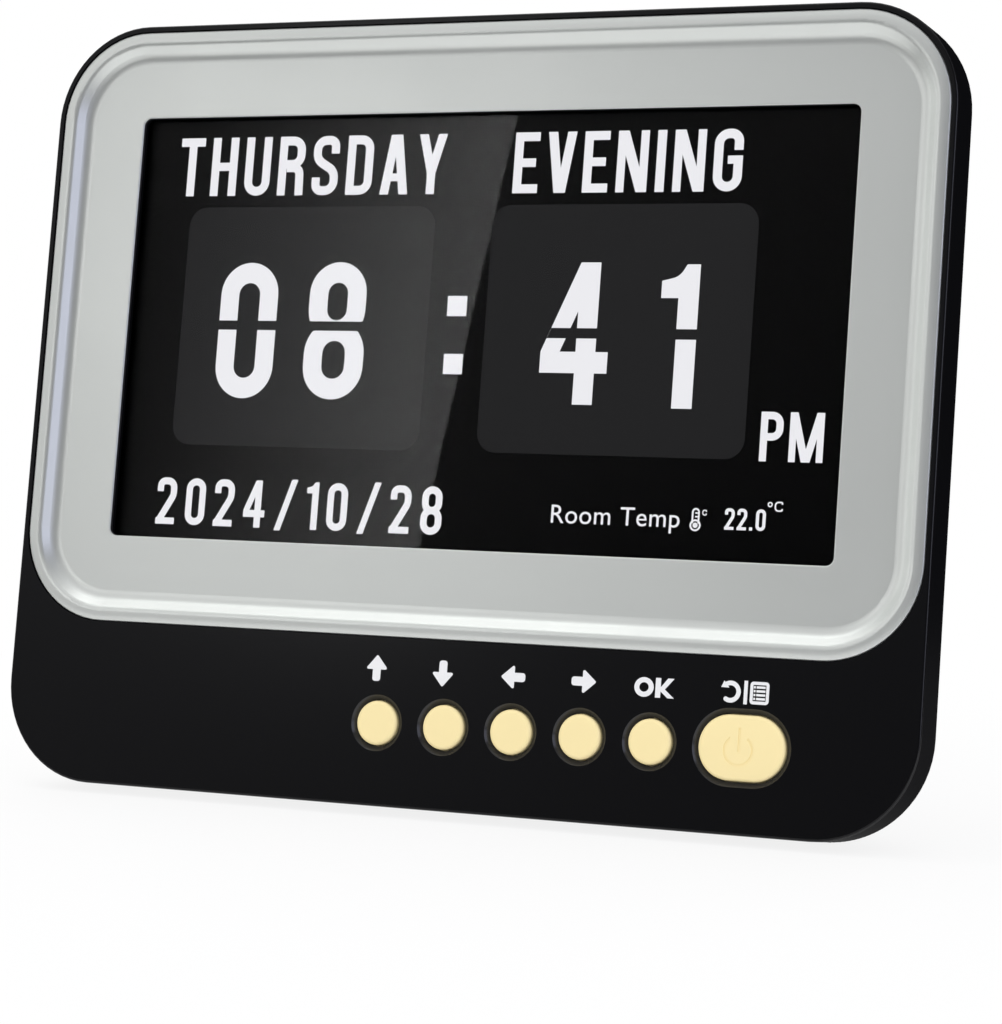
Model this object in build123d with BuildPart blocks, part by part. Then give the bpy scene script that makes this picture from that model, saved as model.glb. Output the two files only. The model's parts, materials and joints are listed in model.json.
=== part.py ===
"""Digital photo frame clock with a silver bezel, six push buttons and a fold-out leg.

Millimetres, +Z up, the face looks along -Y and leans back. The origin lies on the table, in the
middle of the space that the clock takes up. Places on the face are given across (to the right),
up the face from the housing's lower edge, and in depth behind the housing's front face.
"""

import os
from math import cos, radians, sin, sqrt, tan

from build123d import *

# Stance
LEAN = 10.0                 # degrees that the face leans back
SWING = 17.0                # degrees that the leg opens from the back
FEET_PROUD = 0.5            # how far the rubber feet stand below the rear cover

# Screen opening, and the borders around it that give the bezel and the housing their size
SCREEN_WIDTH = 155.0
SCREEN_HEIGHT = 86.3
SCREEN_CORNER = 1.6
BORDER_SIDE = 18.0          # bezel beside the opening
BORDER_TOP = 17.55          # bezel above and below it
BEZEL_LIP = 1.3             # black edge left around the bezel
CHIN = 32.7                 # housing below the bezel, where the buttons are

# Housing
HOUSING_WIDTH = SCREEN_WIDTH + 2 * (BORDER_SIDE + BEZEL_LIP)
HOUSING_HEIGHT = SCREEN_HEIGHT + 2 * BORDER_TOP + BEZEL_LIP + CHIN
HOUSING_CORNER = 20.0
SIDE_DEPTH = 9.0            # depth of the front housing's side walls
SIDE_WALL = 2.2
FRONT_WALL = 2.2
EDGE_ROUND = 0.5
FIT = 0.15                  # gap all round where one moulding drops into another
RIB_COUNT = 3
RIB_PITCH = 20.0
RIB_THICK = 1.2

# Bezel: a raised rim that rolls down to a sunk flat
BEZEL_HEIGHT = SCREEN_HEIGHT + 2 * BORDER_TOP
BEZEL_SINK = 2.2            # depth of the flat behind the housing's front
BEZEL_THICK = 1.0
BEZEL_EDGE = 0.12           # depth of the outer edge below the housing's front
BEZEL_EDGE_ROUND = 0.3
CREST_HEIGHT = 0.15
CREST_IN = 1.9              # distances in from the bezel's outer edge
SLOPE_TOP_IN = 2.6
SLOPE_FOOT_IN = 5.1
FLAT_IN = 6.6
CREST_RADIUS = 1.5
FOOT_RADIUS = 3.2
SKIRT = 1.2
INNER_EDGE_ROUND = 0.3
HOOK_IN = 4.0
HOOK_THICK = 1.2
HOOK_WIDTH = 10.0
HOOK_CATCH = 0.8
HOOK_LENGTH = 1.6           # how far a hook reaches behind the seat
HOOK_ACROSS = 30.0
HOOK_UP = 26.0              # from the screen's centre

# Display stack, from the front
SEAT_FLOOR = 0.8
TAPE = 0.2
LENS_THICK = 1.0
LENS_MARGIN = 3.0
GASKET = 0.5
GASKET_RIM = 1.5
PANEL_SIDE = 5.0            # dark margin of the panel beside the picture
PANEL_TOP = 6.85
PANEL_WIDTH = SCREEN_WIDTH + 2 * PANEL_SIDE
PANEL_HEIGHT = SCREEN_HEIGHT + 2 * PANEL_TOP
PANEL_DEPTH = 4.5           # backlight tray
CELL_THICK = 1.4
TRAY_WALL = 0.8
TRAY_GAP = 0.2
TRAY_SETBACK = 0.2          # the tray's edge lies this far behind the cell's front

# Panel clips
CLIP_IN = 8.5               # boss centre from the panel's left or right edge
CLIP_OUT = 3.9              # boss centre beyond its upper or lower edge
CLIP_WIDTH = 8.0
CLIP_THICK = 0.6
CLIP_GRIP = 4.5             # overlap on the panel's back

# Small fasteners and the bosses that hold them
SMALL_BOSS = 2.5            # radii
SMALL_SHANK = 1.0
SMALL_HEAD = 2.0
SMALL_HEAD_HEIGHT = 1.2
SMALL_SCREW = 5.0           # length below the head
COVER_BOSS = 3.4
COVER_SHANK = 1.4
COVER_HEAD = 2.7
COVER_HEAD_HEIGHT = 1.7
COVER_HEAD_SUNK = 0.5
COVER_SCREW = 7.5
THREAD_GAP = 0.05

# Buttons
BUTTON_UP = 16.0
BUTTON_FIRST = 109.1        # centre of the first cap from the housing's right edge
BUTTON_PITCH = 14.22
BUTTON_NAMES = ("up", "down", "left", "right", "ok")
CAP_RADIUS = 4.3
CAP_PROUD = 0.2
CAP_ROUND = 0.7
CAP_GAP = 0.2
HOLE_CHAMFER = 0.95
POWER_EDGE = 34.0           # centre of the power cap from the housing's right edge
POWER_WIDTH = 17.04
POWER_HEIGHT = 12.16
FLANGE = 1.0
FLANGE_THICK = 0.8
FLANGE_GAP = 0.05
STEM_RADIUS = 1.6
TRAVEL = 0.5

# Tact switches and their board
PLUNGER_RADIUS = 1.65
PLUNGER_SHOWS = 0.7         # length above the switch body at rest
PLUNGER_SUNK = 0.8
PLUNGER_GAP = 0.1
SWITCH_SIZE = 6.0
SWITCH_HEIGHT = 3.1
BUTTON_BOARD_DEPTH = 8.0
BUTTON_BOARD_HEIGHT = 13.0
BOARD_THICK = 1.2
BOARD_END = 14.5            # board left over beyond the first and last button
BOARD_SCREW_IN = 3.5
TAB_ACROSS = 21.3           # from the first button
TAB_RISE = 10.5
TAB_WIDTH = 8.0

# Rear cover
COVER_DEPTH = 5.5           # from the housing's edge to the flat back
COVER_TAPER = 40.0
COVER_WALL = 2.0
COVER_INSET = 2.8
COVER_BORE = 0.25           # radial clearance of a screw's shank in the cover
LIP_IN = 1.8                # spigot that reaches into the housing
LIP_THICK = 1.2
LIP_ROOT = 1.4
COVER_SCREW_IN = 8.8        # screws from the housing's sides
COVER_SCREW_LOW = 12.7      # lowest screws below the bezel
COVER_SCREW_MIDDLE = 9.4    # middle screws below the screen's middle
COVER_SCREW_TOP = 20.4      # upper screws below the housing's upper edge

# Raised centre of the rear cover
POD_DEPTH = 23.0            # its back, behind the housing's front
POD_INSET = 18.8
POD_WIDTH = HOUSING_WIDTH - 2 * POD_INSET
POD_LOWER = 23.4            # from the housing's upper edge to the raised centre's
POD_TOP = HOUSING_HEIGHT - POD_LOWER
POD_CORNER = 14.0
POD_ROUND = 2.5
POD_FLOOR = 4.5             # where its inside starts, up the face

# Fold-out leg
HINGE_LOWER = 14.0          # below the upper edge of the raised centre
HINGE_UP = POD_TOP - HINGE_LOWER
LEG_THICK = 5.0
LEG_SUNK = 0.4
LEG_TOP_WIDTH = 48.0
LEG_FOOT_WIDTH = 40.0
LEG_GAP = 0.5
LEG_SKIN = 1.8
LEG_RIB = 1.6
LEG_RIB_COUNT = 4
TAB_LENGTH = 7.0            # the stop above the hinge
STOP_WIDTH = 20.0
STOP_GAP = 0.05
RECESS_WALL = 1.8
PIN_RADIUS = 1.5
PIN_FIT = 0.02
BORE_FIT = 0.05
EAR = 2.0
WASHER_RADIUS = 2.4
WASHER_SLACK = 0.05
STAND_PAD = 2.0
GRIP_GROOVES = 3

# Rubber feet
FOOT_LENGTH = 24.0
FOOT_WIDTH = 7.0
FOOT_IN = 20.0              # foot's middle from the side of the raised centre
FOOT_BACK = 3.2             # behind the housing's lower edge
FOOT_SUNK = 1.0
FOOT_GAP = 0.1

# Main board, on posts of the rear cover
BOARD_GAP = 2.5             # from the leg's recess to the board
BOARD_SIDE = 3.8            # from the board to the outside of the raised centre
BOARD_LOW = 30.0
BOARD_OVER = 10.0           # board above the card socket and below the inlet's middle
BOARD_DEPTH = 13.5
MAIN_BOARD_THICK = 1.4
POST_IN = 4.0               # posts from the board's edges
LOW_POST_IN = 16.2          # the lower right post makes room for the power inlet
SOCKET_GAP = 0.2            # from a socket's mouth to the cover's inside

# Sockets, one above the other along the board's right edge
SOCKET_APART = 6.2
USB_WIDTH, USB_HEIGHT, USB_LENGTH = 13.1, 5.7, 14.0
USB_SHELL = 0.3
USB_TONGUE = 1.9
CARD_WIDTH, CARD_HEIGHT, CARD_LENGTH = 28.0, 3.0, 22.0
CARD_SLOT_WIDTH = 24.6
CARD_SLOT = 2.3
INLET_WIDTH, INLET_HEIGHT, INLET_LENGTH = 9.0, 3.3, 7.5
INLET_SHELL = 0.35
INLET_TONGUE = 0.8
PORT_GAP = 0.3

# Parts on the board, placed from its lower left corner; chips end with width, height and thickness
CELL_PLACE = (13.5, 19.0)
COIN_RADIUS, COIN_THICK = 10.0, 3.2
HOLDER_BASE = 1.0
HOLDER_WALL = 0.7
CHIPS = ((9.0, 47.0, 14.0, 14.0, 1.2), (9.0, 60.0, 8.0, 6.0, 1.0), (9.0, 35.0, 9.0, 5.0, 1.5))
CAPACITORS = ((20.0, 36.8), (26.5, 36.8))
CAPACITOR_RADIUS = 2.5
CAPACITOR_HEIGHT = 5.4

# Speaker
SPEAKER_UP = 62.0
SPEAKER_RADIUS = 20.0
SPEAKER_FLANGE = 1.0
BASKET_DEPTH = 7.0
BASKET_NECK = 11.0
BASKET_WALL = 0.8
MAGNET_DEPTH = 2.6
CONE_THICK = 0.4
SPEAKER_RING = 1.4
SPEAKER_RING_HEIGHT = 3.0
GRILLE_RADIUS = 15.0
GRILLE_PITCH = 4.0
SLOT_WIDTH = 2.0
VENT_COUNT = 9
VENT_LENGTH = 10.0

# Room sensor, inner leads and flat cables
SENSOR_IN = 8.0             # from the outside of the raised centre
SENSOR_UP, SENSOR_DEPTH = 18.0, 14.0
SENSOR_RADIUS = 1.6
SENSOR_LENGTH = 4.0
SENSOR_LEAD = 12.0
LEAD_RADIUS = 0.5
LEAD_APART = 1.4
LEAD_JOINT = 1.5            # length of lead laid on a board
BASKET_TAG = 2.5            # where the leads leave the basket, outside its neck
LEAD_BEND = 7.0
RIBBON_THICK = 0.3
RIBBON_IN, RIBBON_WIDTH = 16.2, 16.0
RIBBON_GRIP = 5.0           # length of the ribbon laid on the panel, and of its loop below it
RIBBON_PLUG = 3.0
CABLE_WIDTH = 8.0           # runs midway between the main board's lower posts
CABLE_GRIP = 2.0
CABLE_PLUG = 6.0
CABLE_BEND = 1.5

# Places that follow from the sizes above
lean = radians(LEAN)
leg_angle = radians(SWING - LEAN)
bezel_width = HOUSING_WIDTH - 2 * BEZEL_LIP
bezel_corner = HOUSING_CORNER - BEZEL_LIP
screen_up = HOUSING_HEIGHT - BEZEL_LIP - BEZEL_HEIGHT / 2
housing_middle = HOUSING_HEIGHT / 2
seat_depth = BEZEL_SINK + BEZEL_THICK
seat_back = seat_depth + SEAT_FLOOR
lens_front = seat_back + TAPE
gasket_front = lens_front + LENS_THICK
cell_front = gasket_front + GASKET
tray_front = cell_front + TRAY_SETBACK
panel_back = tray_front + PANEL_DEPTH
cover_back = SIDE_DEPTH + COVER_DEPTH
pod_inside = POD_DEPTH - COVER_WALL
pod_side = POD_WIDTH / 2
edge_right = HOUSING_WIDTH / 2
recess_half = LEG_TOP_WIDTH / 2 + LEG_GAP
beside_recess = (recess_half + EAR + pod_side - COVER_WALL) / 2
port_face = pod_side - COVER_WALL - SOCKET_GAP
board_back = BOARD_DEPTH + MAIN_BOARD_THICK
button_first = edge_right - BUTTON_FIRST
button_places = [(button_first + i * BUTTON_PITCH, BUTTON_UP) for i in range(len(BUTTON_NAMES))]
power_place = (edge_right - POWER_EDGE, BUTTON_UP)
switch_front = BUTTON_BOARD_DEPTH - SWITCH_HEIGHT
plunger_front = switch_front - PLUNGER_SHOWS
board_first = button_first - BOARD_END
board_last = power_place[0] + BOARD_END + SMALL_BOSS
board_screws = [
    (board_first + BOARD_SCREW_IN, BUTTON_UP),
    (board_last - BOARD_SCREW_IN, BUTTON_UP),
    (button_first + TAB_ACROSS, BUTTON_UP + TAB_RISE),
]
clip_rows = (screen_up - PANEL_HEIGHT / 2 - CLIP_OUT, screen_up + PANEL_HEIGHT / 2 + CLIP_OUT)
clip_side = PANEL_WIDTH / 2 - CLIP_IN
clip_places = [(across, up) for across in (-clip_side, clip_side) for up in clip_rows]
cover_side = edge_right - COVER_SCREW_IN
chin_places = [(s * cover_side, CHIN - COVER_SCREW_LOW) for s in (-1, 1)]
seat_places = [
    (s * cover_side, up)
    for s in (-1, 1)
    for up in (screen_up - COVER_SCREW_MIDDLE, HOUSING_HEIGHT - COVER_SCREW_TOP)
]
cover_places = chin_places + seat_places

# The main board's corners and posts
board_left = recess_half + EAR + BOARD_GAP
board_right = pod_side - BOARD_SIDE
inlet_up = BOARD_LOW + BOARD_OVER
usb_up = inlet_up + (INLET_WIDTH + USB_WIDTH) / 2 + SOCKET_APART
card_up = usb_up + (USB_WIDTH + CARD_WIDTH) / 2 + SOCKET_APART
board_top = card_up + CARD_WIDTH / 2 + BOARD_OVER
board_posts = [
    (board_left + POST_IN, BOARD_LOW + POST_IN),
    (board_right - LOW_POST_IN, BOARD_LOW + POST_IN),
    (board_left + POST_IN, board_top - POST_IN),
    (board_right - POST_IN, board_top - POST_IN),
]

# The leg's hinge, and how far back the leg's foot reaches
hinge_depth = POD_DEPTH - LEG_SUNK - LEG_THICK / 2
base_rise = FEET_PROUD + SIDE_DEPTH * sin(lean)
hinge_back = HINGE_UP * sin(lean) + hinge_depth * cos(lean)
hinge_rise = base_rise + HINGE_UP * cos(lean) - hinge_depth * sin(lean)
reach = hinge_back + LEG_THICK / 2 / cos(leg_angle) + hinge_rise * tan(leg_angle)
leg_length = hinge_rise / cos(leg_angle)
recess_floor = hinge_depth - LEG_THICK / 2 - LEG_GAP
recess_top = HINGE_UP + TAB_LENGTH + 2 * LEG_GAP

# The rubber feet on the table, seen from above
foot_side = pod_side - FOOT_IN
foot_y = -reach / 2 + SIDE_DEPTH * cos(lean) + FOOT_BACK + FOOT_WIDTH / 2
foot_places = [(-foot_side, foot_y), (foot_side, foot_y)]

FACE = Plane(origin=(0, -reach / 2, base_rise), x_dir=(1, 0, 0), z_dir=(0, -cos(lean), sin(lean)))
FRONTWARDS = Axis(FACE.origin, FACE.z_dir)


def spot(across, up, depth):
    """A point given across and up the face, and in depth behind it."""
    return FACE.from_local_coords(Vector(across, up, -depth))


def on_board(place):
    """A place across and up the face, from one counted from the main board's lower left corner."""
    return (board_left + place[0], BOARD_LOW + place[1])


def level(depth, across=0.0, up=0.0):
    """A plane parallel to the face, so far behind it, with its origin at a place on the face."""
    return Plane(origin=spot(across, up, depth), x_dir=FACE.x_dir, z_dir=FACE.z_dir)


def side(across):
    """An upright plane across the clock: its x runs up the face, its y towards the front."""
    return Plane(origin=spot(across, 0, 0), x_dir=FACE.y_dir, z_dir=FACE.x_dir)


def save(piece, name):
    """Label a finished piece and write it as its own node."""
    piece.label = name
    export_step(piece, f"parts/{name}.step")


def rods(places, front, back, radius):
    """Equal round rods from one depth to another, one at each place on the face."""
    with BuildPart() as group:
        with BuildSketch(level(back)):
            with Locations(*places):
                Circle(radius)
        extrude(amount=back - front)
    return group.part


def screws(places, seat, head, head_height, shank, length, from_back=True):
    """Pan-head screws under whose heads the seat lies, driven from the back or from the front."""
    way = 1 if from_back else -1
    with BuildPart() as group:
        with BuildSketch(level(seat)):
            with Locations(*places):
                Circle(head)
        extrude(amount=-way * head_height)
        crowns = group.faces().filter_by(FACE).sort_by(FRONTWARDS)
        outer = crowns[: len(places)] if from_back else crowns[-len(places):]
        chamfer(outer.edges(), head_height / 3)
        with BuildSketch(level(seat)):
            with Locations(*places):
                Circle(shank)
        extrude(amount=way * length)
    return group.part


os.makedirs("parts", exist_ok=True)

# Front housing: an open box with a sunk seat for the bezel
with BuildPart() as front_housing:
    with BuildSketch(level(0, 0, housing_middle)):
        RectangleRounded(HOUSING_WIDTH, HOUSING_HEIGHT, HOUSING_CORNER)
    extrude(amount=-SIDE_DEPTH)
    fillet(front_housing.faces().sort_by(FRONTWARDS)[-1].edges(), EDGE_ROUND)
    with BuildSketch(level(FRONT_WALL, 0, housing_middle)):
        RectangleRounded(
            HOUSING_WIDTH - 2 * SIDE_WALL, HOUSING_HEIGHT - 2 * SIDE_WALL, HOUSING_CORNER - SIDE_WALL
        )
    extrude(amount=FRONT_WALL - SIDE_DEPTH, mode=Mode.SUBTRACT)
    with BuildSketch(level(seat_back, 0, screen_up)):
        RectangleRounded(
            bezel_width + 2 * SIDE_WALL, BEZEL_HEIGHT + 2 * SIDE_WALL, bezel_corner + SIDE_WALL
        )
        with Locations((0, housing_middle - screen_up)):
            RectangleRounded(
                HOUSING_WIDTH - 2 * SIDE_WALL,
                HOUSING_HEIGHT - 2 * SIDE_WALL,
                HOUSING_CORNER - SIDE_WALL,
                mode=Mode.INTERSECT,
            )
    extrude(amount=seat_back - FRONT_WALL)
    with BuildSketch(level(0, 0, screen_up)):
        RectangleRounded(bezel_width + 2 * FIT, BEZEL_HEIGHT + 2 * FIT, bezel_corner + FIT)
    extrude(amount=-seat_depth, mode=Mode.SUBTRACT)
    with BuildSketch(level(0, 0, screen_up)):
        RectangleRounded(SCREEN_WIDTH, SCREEN_HEIGHT, SCREEN_CORNER)
    extrude(amount=-seat_back, mode=Mode.SUBTRACT)

    # slots for the bezel's hooks
    slot_deep = HOOK_THICK + HOOK_CATCH
    slot_in = HOOK_IN - FIT + slot_deep / 2
    slot_long = HOOK_WIDTH + 4 * FIT
    with BuildSketch(level(0, 0, screen_up)):
        with GridLocations(2 * HOOK_ACROSS, BEZEL_HEIGHT - 2 * slot_in, 2, 2):
            Rectangle(slot_long, slot_deep)
        with GridLocations(bezel_width - 2 * slot_in, 2 * HOOK_UP, 2, 2):
            Rectangle(slot_deep, slot_long)
    extrude(amount=-seat_back, mode=Mode.SUBTRACT)

    # button holes with their chamfers
    with BuildSketch(level(0)):
        with Locations(*button_places):
            Circle(CAP_RADIUS + CAP_GAP)
        with Locations(power_place):
            SlotOverall(POWER_WIDTH + 2 * CAP_GAP, POWER_HEIGHT + 2 * CAP_GAP)
    extrude(amount=-FRONT_WALL, mode=Mode.SUBTRACT)
    mouth = CAP_GAP + HOLE_CHAMFER
    with BuildSketch(level(0)):
        with Locations(*button_places):
            Circle(CAP_RADIUS + mouth)
        with Locations(power_place):
            SlotOverall(POWER_WIDTH + 2 * mouth, POWER_HEIGHT + 2 * mouth)
    extrude(amount=-HOLE_CHAMFER, taper=45, mode=Mode.SUBTRACT)

    # bosses for the rear cover, the panel clips and the button board, with their pilot holes
    for places, start, end, radius, shank in (
        (chin_places, FRONT_WALL, SIDE_DEPTH, COVER_BOSS, COVER_SHANK),
        (seat_places, seat_back, SIDE_DEPTH, COVER_BOSS, COVER_SHANK),
        (clip_places, seat_back, panel_back, SMALL_BOSS, SMALL_SHANK),
        (board_screws, FRONT_WALL, BUTTON_BOARD_DEPTH, SMALL_BOSS, SMALL_SHANK),
    ):
        with BuildSketch(level(end)):
            with Locations(*places):
                Circle(radius)
        extrude(amount=end - start)
        with BuildSketch(level(end)):
            with Locations(*places):
                Circle(shank + THREAD_GAP)
        extrude(amount=end - start, mode=Mode.SUBTRACT)

    # stiffening ribs across the empty end of the chin
    chin_ribs = (board_first - edge_right) / 2
    with BuildSketch(level(FRONT_WALL, chin_ribs, CHIN / 2)):
        with GridLocations(RIB_PITCH, 0, RIB_COUNT, 1):
            Rectangle(RIB_THICK, CHIN - 2 * SIDE_WALL)
    extrude(amount=-SIDE_DEPTH / 2)
save(front_housing.part, "front_housing")

# Bezel: the rim's section swept around the border, a flat plate and eight snap hooks
border = Wire(
    Compound(level(0, 0, screen_up) * RectangleRounded(bezel_width, BEZEL_HEIGHT, bezel_corner))
    .wire()
    .edges()
)


def across_border(point, inward):
    """A plane square to the border: its x runs inwards, its y towards the front."""
    return Plane(origin=point, x_dir=inward, z_dir=inward.cross(FACE.z_dir))


with BuildPart() as bezel_frame:
    start_plane = Plane(border @ 0, x_dir=FACE.z_dir.cross(border % 0), z_dir=border % 0)
    with BuildSketch(start_plane):
        with BuildLine():
            edge_low = (0, -BEZEL_EDGE - BEZEL_EDGE_ROUND)
            edge_top = (BEZEL_EDGE_ROUND, -BEZEL_EDGE)
            crest = (CREST_IN, CREST_HEIGHT)
            flat = (FLAT_IN, -BEZEL_SINK)
            FilletPolyline(
                flat,
                (SLOPE_FOOT_IN, -BEZEL_SINK),
                (SLOPE_TOP_IN, CREST_HEIGHT),
                crest,
                radius=(FOOT_RADIUS, CREST_RADIUS),
            )
            band = TangentArc(crest, edge_top, tangent=(-1, 0))
            TangentArc(edge_top, edge_low, tangent=band % 1)
            Polyline(
                edge_low,
                (0, -seat_depth),
                (SKIRT, -seat_depth),
                (SKIRT, CREST_HEIGHT - SKIRT),
                (CREST_IN, CREST_HEIGHT - SKIRT),
                (SLOPE_FOOT_IN - SKIRT, -seat_depth),
                (FLAT_IN, -seat_depth),
                flat,
            )
        make_face()
    sweep(path=border)
    with BuildSketch(level(seat_depth, 0, screen_up)):
        RectangleRounded(
            bezel_width - 2 * FLAT_IN, BEZEL_HEIGHT - 2 * FLAT_IN, bezel_corner - FLAT_IN
        )
        RectangleRounded(SCREEN_WIDTH, SCREEN_HEIGHT, SCREEN_CORNER, mode=Mode.SUBTRACT)
    extrude(amount=BEZEL_THICK)
    flat_edges = bezel_frame.edges().filter_by_position(
        FRONTWARDS, -BEZEL_SINK - BORE_FIT, -BEZEL_SINK + BORE_FIT
    )
    opening_edges = [
        edge
        for edge in flat_edges
        if abs(edge.center().X) < SCREEN_WIDTH / 2 + FIT
        and abs(FACE.to_local_coords(edge.center()).Y - screen_up) < SCREEN_HEIGHT / 2 + FIT
    ]
    fillet(opening_edges, INNER_EDGE_ROUND)
    edge_up = BEZEL_HEIGHT / 2
    edge_side = bezel_width / 2
    up_face = FACE.y_dir
    right = FACE.x_dir
    hook_planes = []
    for s in (-1, 1):
        hook_planes += [
            across_border(spot(s * HOOK_ACROSS, screen_up - edge_up, 0), up_face),
            across_border(spot(s * HOOK_ACROSS, screen_up + edge_up, 0), -up_face),
            across_border(spot(-edge_side, screen_up + s * HOOK_UP, 0), right),
            across_border(spot(edge_side, screen_up + s * HOOK_UP, 0), -right),
        ]
    hook_root = -BEZEL_SINK
    with BuildSketch(*hook_planes):
        with BuildLine():
            Polyline(
                (HOOK_IN, hook_root),
                (HOOK_IN + HOOK_THICK, hook_root),
                (HOOK_IN + HOOK_THICK, -seat_back - HOOK_LENGTH),
                (HOOK_IN, -seat_back - HOOK_LENGTH),
                (HOOK_IN - HOOK_CATCH, -seat_back - HOOK_LENGTH / 2),
                (HOOK_IN - HOOK_CATCH, -seat_back - FLANGE_GAP),
                (HOOK_IN, -seat_back - FLANGE_GAP),
                close=True,
            )
        make_face()
    extrude(amount=HOOK_WIDTH / 2, both=True)
save(bezel_frame.part, "bezel_frame")

# Display stack
lens_width = SCREEN_WIDTH + 2 * LENS_MARGIN
lens_height = SCREEN_HEIGHT + 2 * LENS_MARGIN

with BuildPart() as lens_tape:
    with BuildSketch(level(lens_front, 0, screen_up)):
        Rectangle(lens_width, lens_height)
        Rectangle(SCREEN_WIDTH + LENS_MARGIN / 2, SCREEN_HEIGHT + LENS_MARGIN / 2, mode=Mode.SUBTRACT)
    extrude(amount=TAPE)
save(lens_tape.part, "lens_tape")

with BuildPart() as screen_lens:
    with BuildSketch(level(gasket_front, 0, screen_up)):
        RectangleRounded(lens_width, lens_height, SCREEN_CORNER)
    extrude(amount=LENS_THICK)
save(screen_lens.part, "screen_lens")

with BuildPart() as panel_gasket:
    with BuildSketch(level(cell_front, 0, screen_up)):
        Rectangle(lens_width, lens_height)
        Rectangle(lens_width - 2 * GASKET_RIM, lens_height - 2 * GASKET_RIM, mode=Mode.SUBTRACT)
    extrude(amount=GASKET)
save(panel_gasket.part, "panel_gasket")

with BuildPart() as lcd_cell:
    with BuildSketch(level(cell_front, 0, screen_up)):
        Rectangle(
            PANEL_WIDTH - 2 * (TRAY_WALL + TRAY_GAP), PANEL_HEIGHT - 2 * (TRAY_WALL + TRAY_GAP)
        )
    extrude(amount=-CELL_THICK)
save(lcd_cell.part, "lcd_cell")

with BuildPart() as lcd_backlight:
    with BuildSketch(level(tray_front, 0, screen_up)):
        RectangleRounded(PANEL_WIDTH, PANEL_HEIGHT, TRAY_WALL)
    extrude(amount=-PANEL_DEPTH)
    with BuildSketch(level(tray_front, 0, screen_up)):
        Rectangle(PANEL_WIDTH - 2 * TRAY_WALL, PANEL_HEIGHT - 2 * TRAY_WALL)
    extrude(amount=TRAY_SETBACK - CELL_THICK, mode=Mode.SUBTRACT)
save(lcd_backlight.part, "lcd_backlight")

with BuildPart() as panel_clips:
    clip_length = SMALL_BOSS + CLIP_OUT + CLIP_GRIP
    for side_across, up in clip_places:
        inward = 1 if up < screen_up else -1
        middle = up + inward * (clip_length / 2 - SMALL_BOSS)
        with BuildSketch(level(panel_back, side_across, middle)):
            Rectangle(CLIP_WIDTH, clip_length)
        extrude(amount=-CLIP_THICK)
    with BuildSketch(level(panel_back)):
        with Locations(*clip_places):
            Circle(SMALL_SHANK + 2 * THREAD_GAP)
    extrude(amount=-CLIP_THICK, mode=Mode.SUBTRACT)
save(panel_clips.part, "panel_clips")

save(
    screws(
        clip_places, panel_back + CLIP_THICK, SMALL_HEAD, SMALL_HEAD_HEIGHT, SMALL_SHANK, SMALL_SCREW
    ),
    "panel_screws",
)


# Push buttons: cap, flange and stem in one moulding, with the switch's plunger behind it
def cap_outline(power, grow=0.0):
    """The outline of a cap, grown by a margin all round."""
    if power:
        SlotOverall(POWER_WIDTH + 2 * grow, POWER_HEIGHT + 2 * grow)
    else:
        Circle(CAP_RADIUS + grow)


def button_cap(place, power=False):
    """One cap that looks out of its hole, with its edge rounded."""
    flange_front = FRONT_WALL + FLANGE_GAP
    flange_back = flange_front + FLANGE_THICK
    with BuildPart() as cap:
        with BuildSketch(level(flange_front, *place)):
            cap_outline(power)
        extrude(amount=flange_front + CAP_PROUD)
        fillet(cap.faces().sort_by(FRONTWARDS)[-1].edges(), CAP_ROUND)
        with BuildSketch(level(flange_back, *place)):
            cap_outline(power, FLANGE)
        extrude(amount=FLANGE_THICK)
        with BuildSketch(level(plunger_front, *place)):
            Circle(STEM_RADIUS)
        extrude(amount=plunger_front - flange_back)
    return cap.part


def switch_plunger(place):
    """The round plunger that a cap's stem rests on."""
    return rods([place], plunger_front, switch_front + PLUNGER_SUNK, PLUNGER_RADIUS)


for name, place in zip(BUTTON_NAMES, button_places):
    save(button_cap(place), f"button_{name}")
    save(switch_plunger(place), f"plunger_{name}")
save(button_cap(power_place, power=True), "button_power")
save(switch_plunger(power_place), "plunger_power")

switch_places = button_places + [power_place]
with BuildPart() as switch_bodies:
    with BuildSketch(level(BUTTON_BOARD_DEPTH)):
        with Locations(*switch_places):
            Rectangle(SWITCH_SIZE, SWITCH_SIZE)
    extrude(amount=SWITCH_HEIGHT)
    with BuildSketch(level(switch_front)):
        with Locations(*switch_places):
            Circle(PLUNGER_RADIUS + PLUNGER_GAP)
    extrude(amount=-(PLUNGER_SUNK + TRAVEL + PLUNGER_GAP), mode=Mode.SUBTRACT)
save(switch_bodies.part, "switch_bodies")

with BuildPart() as button_board:
    with BuildSketch(level(BUTTON_BOARD_DEPTH)):
        with Locations(((board_first + board_last) / 2, BUTTON_UP)):
            RectangleRounded(board_last - board_first, BUTTON_BOARD_HEIGHT, 1.0)
        with Locations((board_screws[-1][0], BUTTON_UP + (TAB_RISE + SMALL_BOSS) / 2)):
            Rectangle(TAB_WIDTH, TAB_RISE + SMALL_BOSS)
        with Locations(*board_screws):
            Circle(SMALL_SHANK + 2 * THREAD_GAP, mode=Mode.SUBTRACT)
    extrude(amount=-BOARD_THICK)
save(button_board.part, "button_board")

save(
    screws(
        board_screws,
        BUTTON_BOARD_DEPTH + BOARD_THICK,
        SMALL_HEAD,
        SMALL_HEAD_HEIGHT,
        SMALL_SHANK,
        SMALL_SCREW,
    ),
    "button_board_screws",
)

# Main board and what is soldered on it
with BuildPart() as main_board:
    with BuildSketch(level(BOARD_DEPTH)):
        with Locations(((board_left + board_right) / 2, (BOARD_LOW + board_top) / 2)):
            RectangleRounded(board_right - board_left, board_top - BOARD_LOW, MAIN_BOARD_THICK)
        with Locations(*board_posts):
            Circle(SMALL_SHANK + 2 * THREAD_GAP, mode=Mode.SUBTRACT)
    extrude(amount=-MAIN_BOARD_THICK)
save(main_board.part, "main_board")

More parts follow.
